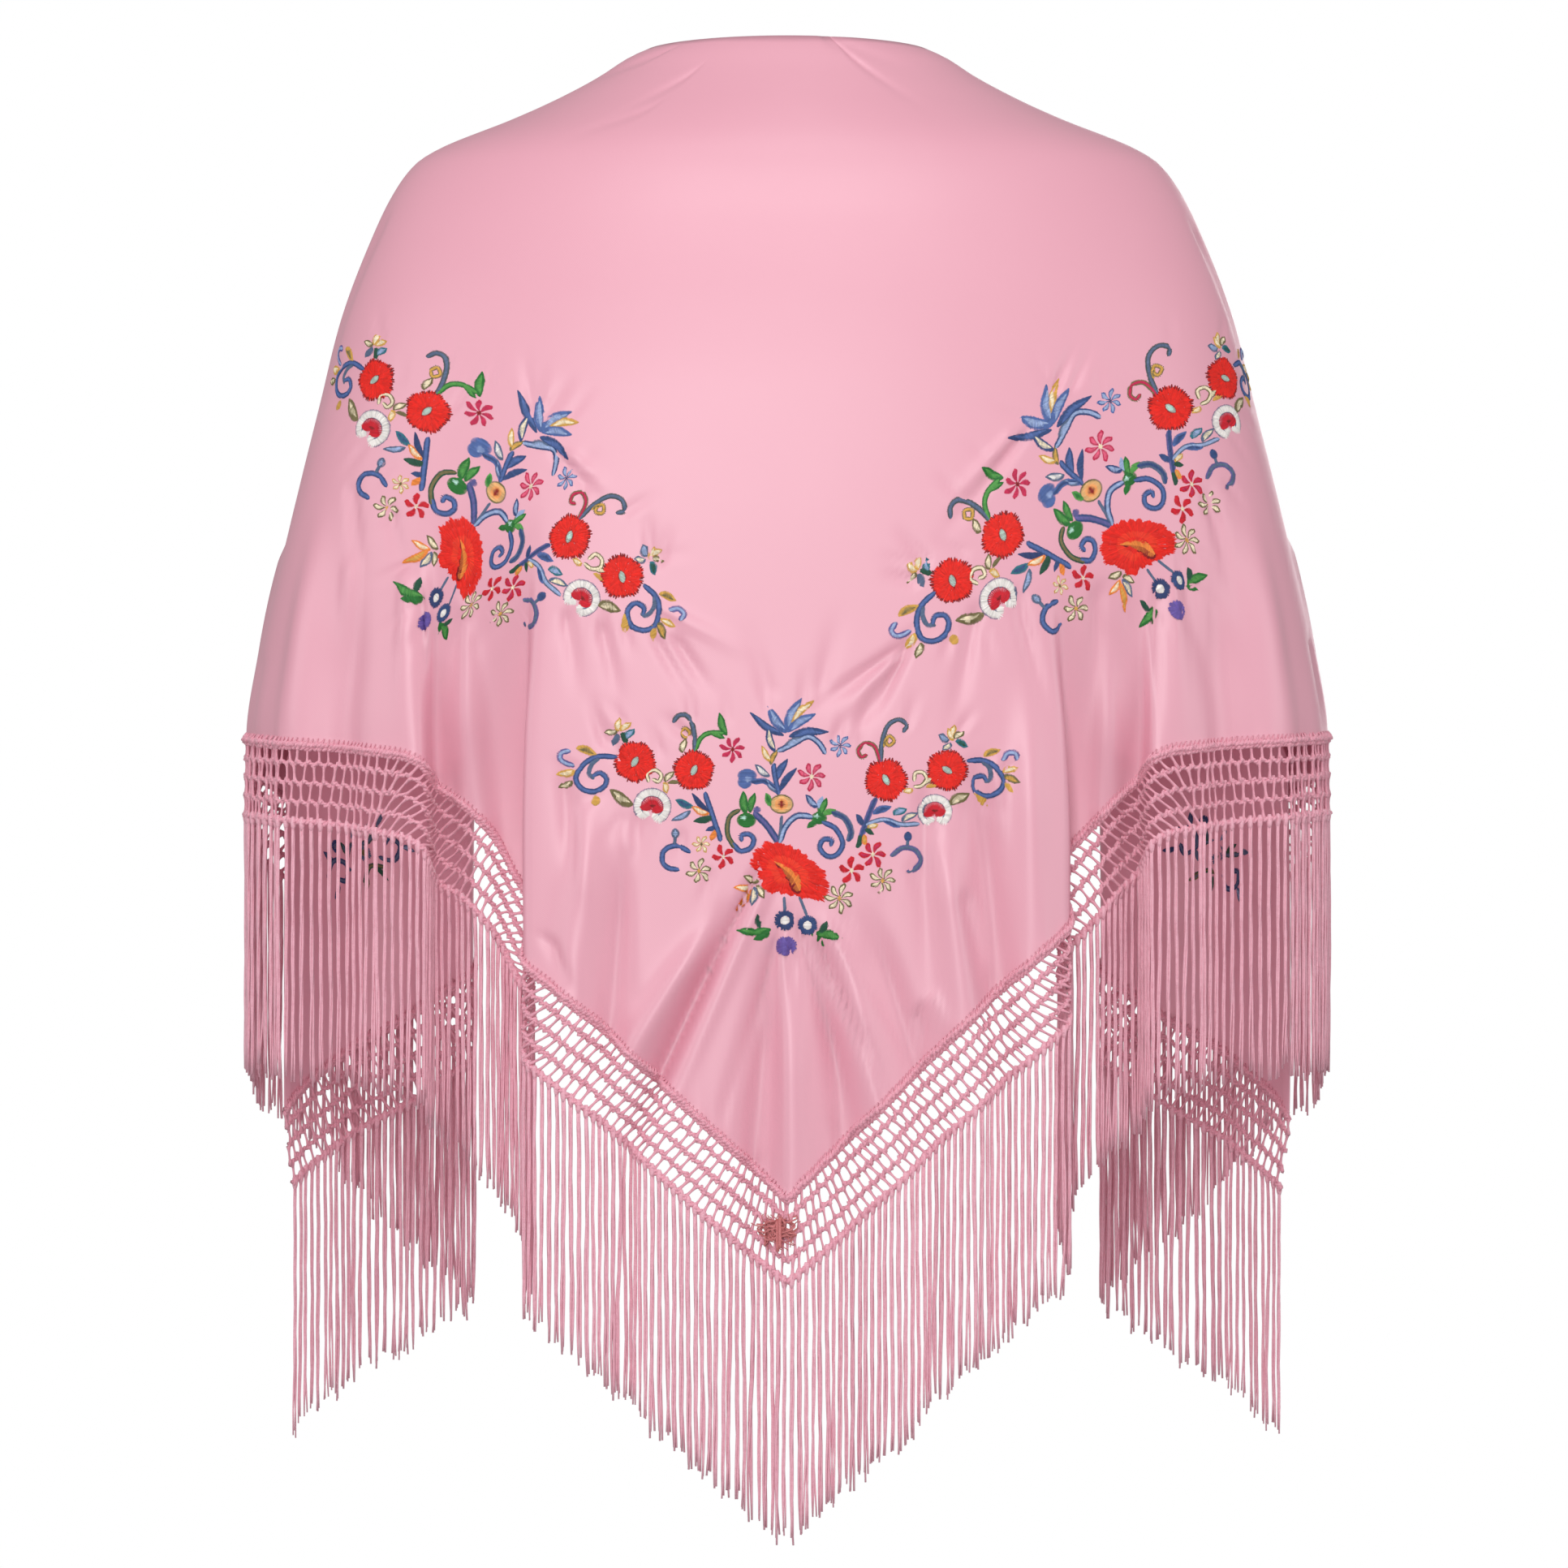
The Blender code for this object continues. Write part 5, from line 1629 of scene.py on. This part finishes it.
def make_world():
    """Bright white behind the object, and a dimmer even light from all around."""
    world = bpy.data.worlds.new("studio")
    bpy.context.scene.world = world
    world.use_nodes = True
    nodes = world.node_tree.nodes
    link = world.node_tree.links.new
    around = nodes["Background"]
    set_inputs(around, {"Color": (1.0, 1.0, 1.0, 1.0), "Strength": AMBIENT})
    behind = nodes.new("ShaderNodeBackground")
    set_inputs(behind, {"Color": (1.0, 1.0, 1.0, 1.0), "Strength": 1.0})
    seen = nodes.new("ShaderNodeLightPath")
    choice = nodes.new("ShaderNodeMixShader")
    link(seen.outputs["Is Camera Ray"], choice.inputs[0])
    link(around.outputs["Background"], choice.inputs[1])
    link(behind.outputs["Background"], choice.inputs[2])
    link(choice.outputs["Shader"], nodes["World Output"].inputs["Surface"])


def make_floor():
    """A pale round floor just below the fringe that fades into the white around it."""
    corners = np.array([(-1, -1), (1, -1), (1, 1), (-1, 1)]) * FLOOR_HALF
    points = np.concatenate([corners, np.full((4, 1), FLOOR_HEIGHT)], axis=1)
    mesh = quad_mesh("floor", points, np.array([[0, 1, 2, 3]]))
    floor = bpy.data.objects.new("floor", mesh)
    paint, nodes, link, shader = new_material("pale_floor")
    set_inputs(shader, {"Base Color": (0.96, 0.96, 0.96, 1.0), "Roughness": 0.9})
    place = nodes.new("ShaderNodeTexCoord")
    fade = nodes.new("ShaderNodeTexGradient")
    fade.gradient_type = "SPHERICAL"
    clear = nodes.new("ShaderNodeMapRange")
    set_inputs(clear, {"From Min": 0.0, "From Max": 0.75, "To Max": 0.6})
    scaled = scaled_place(nodes, link, place.outputs["Object"], [1 / FLOOR_HALF] * 3)
    link(scaled, fade.inputs["Vector"])
    link(fade.outputs["Fac"], clear.inputs["Value"])
    link(clear.outputs["Result"], shader.inputs["Alpha"])
    mesh.materials.append(paint)
    bpy.context.scene.collection.objects.link(floor)


def make_studio():
    """Large soft lights: one near the camera, one above, two at the sides and one at the front."""
    make_world()
    make_floor()
    soft_light("key", (-0.35, -3.3, 0.05), (0, 0, -0.36), 1.0, KEY_POWER)
    soft_light("top", (0.0, -2.1, 1.9), (0, 0, -0.05), 1.3, TOP_POWER)
    soft_light("left", (-3.0, -1.6, 0.3), (0, 0, -0.35), 1.8, SIDE_POWER)
    soft_light("right", (3.0, -1.6, 0.1), (0, 0, -0.35), 1.8, SIDE_POWER)
    soft_light("front", (0.6, 2.8, -0.2), (0, 0, -0.35), 1.8, FRONT_POWER)
    bpy.context.scene.view_settings.view_transform = "Standard"


def make_shawl():
    satin = satin_material()
    yarn = yarn_material("pink_yarn", *NET_TONE_AND_SHADE, 0.55)
    silk = yarn_material("pink_fringe", *FRINGE_TONE_AND_SHADE, 0.45)
    dark = yarn_material("knot_yarn", *KNOT_TONE_AND_SHADE, 0.6)
    thread = thread_material()
    cloth = make_cloth(satin)
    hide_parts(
        "cloth_back", "cloth_wrap_left", "cloth_wrap_right", "cloth_end_left", "cloth_end_right"
    )
    chance = np.random.default_rng(7)
    for name, start, end in STRETCHES:
        make_net(name, start, end, yarn, chance)
        make_fringe(name, start, end, silk, chance)
    make_point_knot(dark, chance)
    for name, drawing, stations, size, seed, coarse in (
        ("embroidery_middle", whole_drawing, MIDDLE_STATIONS, 1.0, 11, 1.0),
        ("embroidery_left", whole_drawing, LEFT_STATIONS, SIDE_SIZE, 12, 1.0),
        ("embroidery_right", whole_drawing, RIGHT_STATIONS, SIDE_SIZE, 13, 1.0),
        ("embroidery_end_left", end_drawing, LEFT_END_STATIONS, 0.7, 14, 1.4),
        ("embroidery_end_right", end_drawing, RIGHT_END_STATIONS, 0.7, 15, 1.4),
    ):
        make_embroidery(name, drawing, stations, size, thread, seed, coarse)


make_camera()
make_studio()
make_shawl()
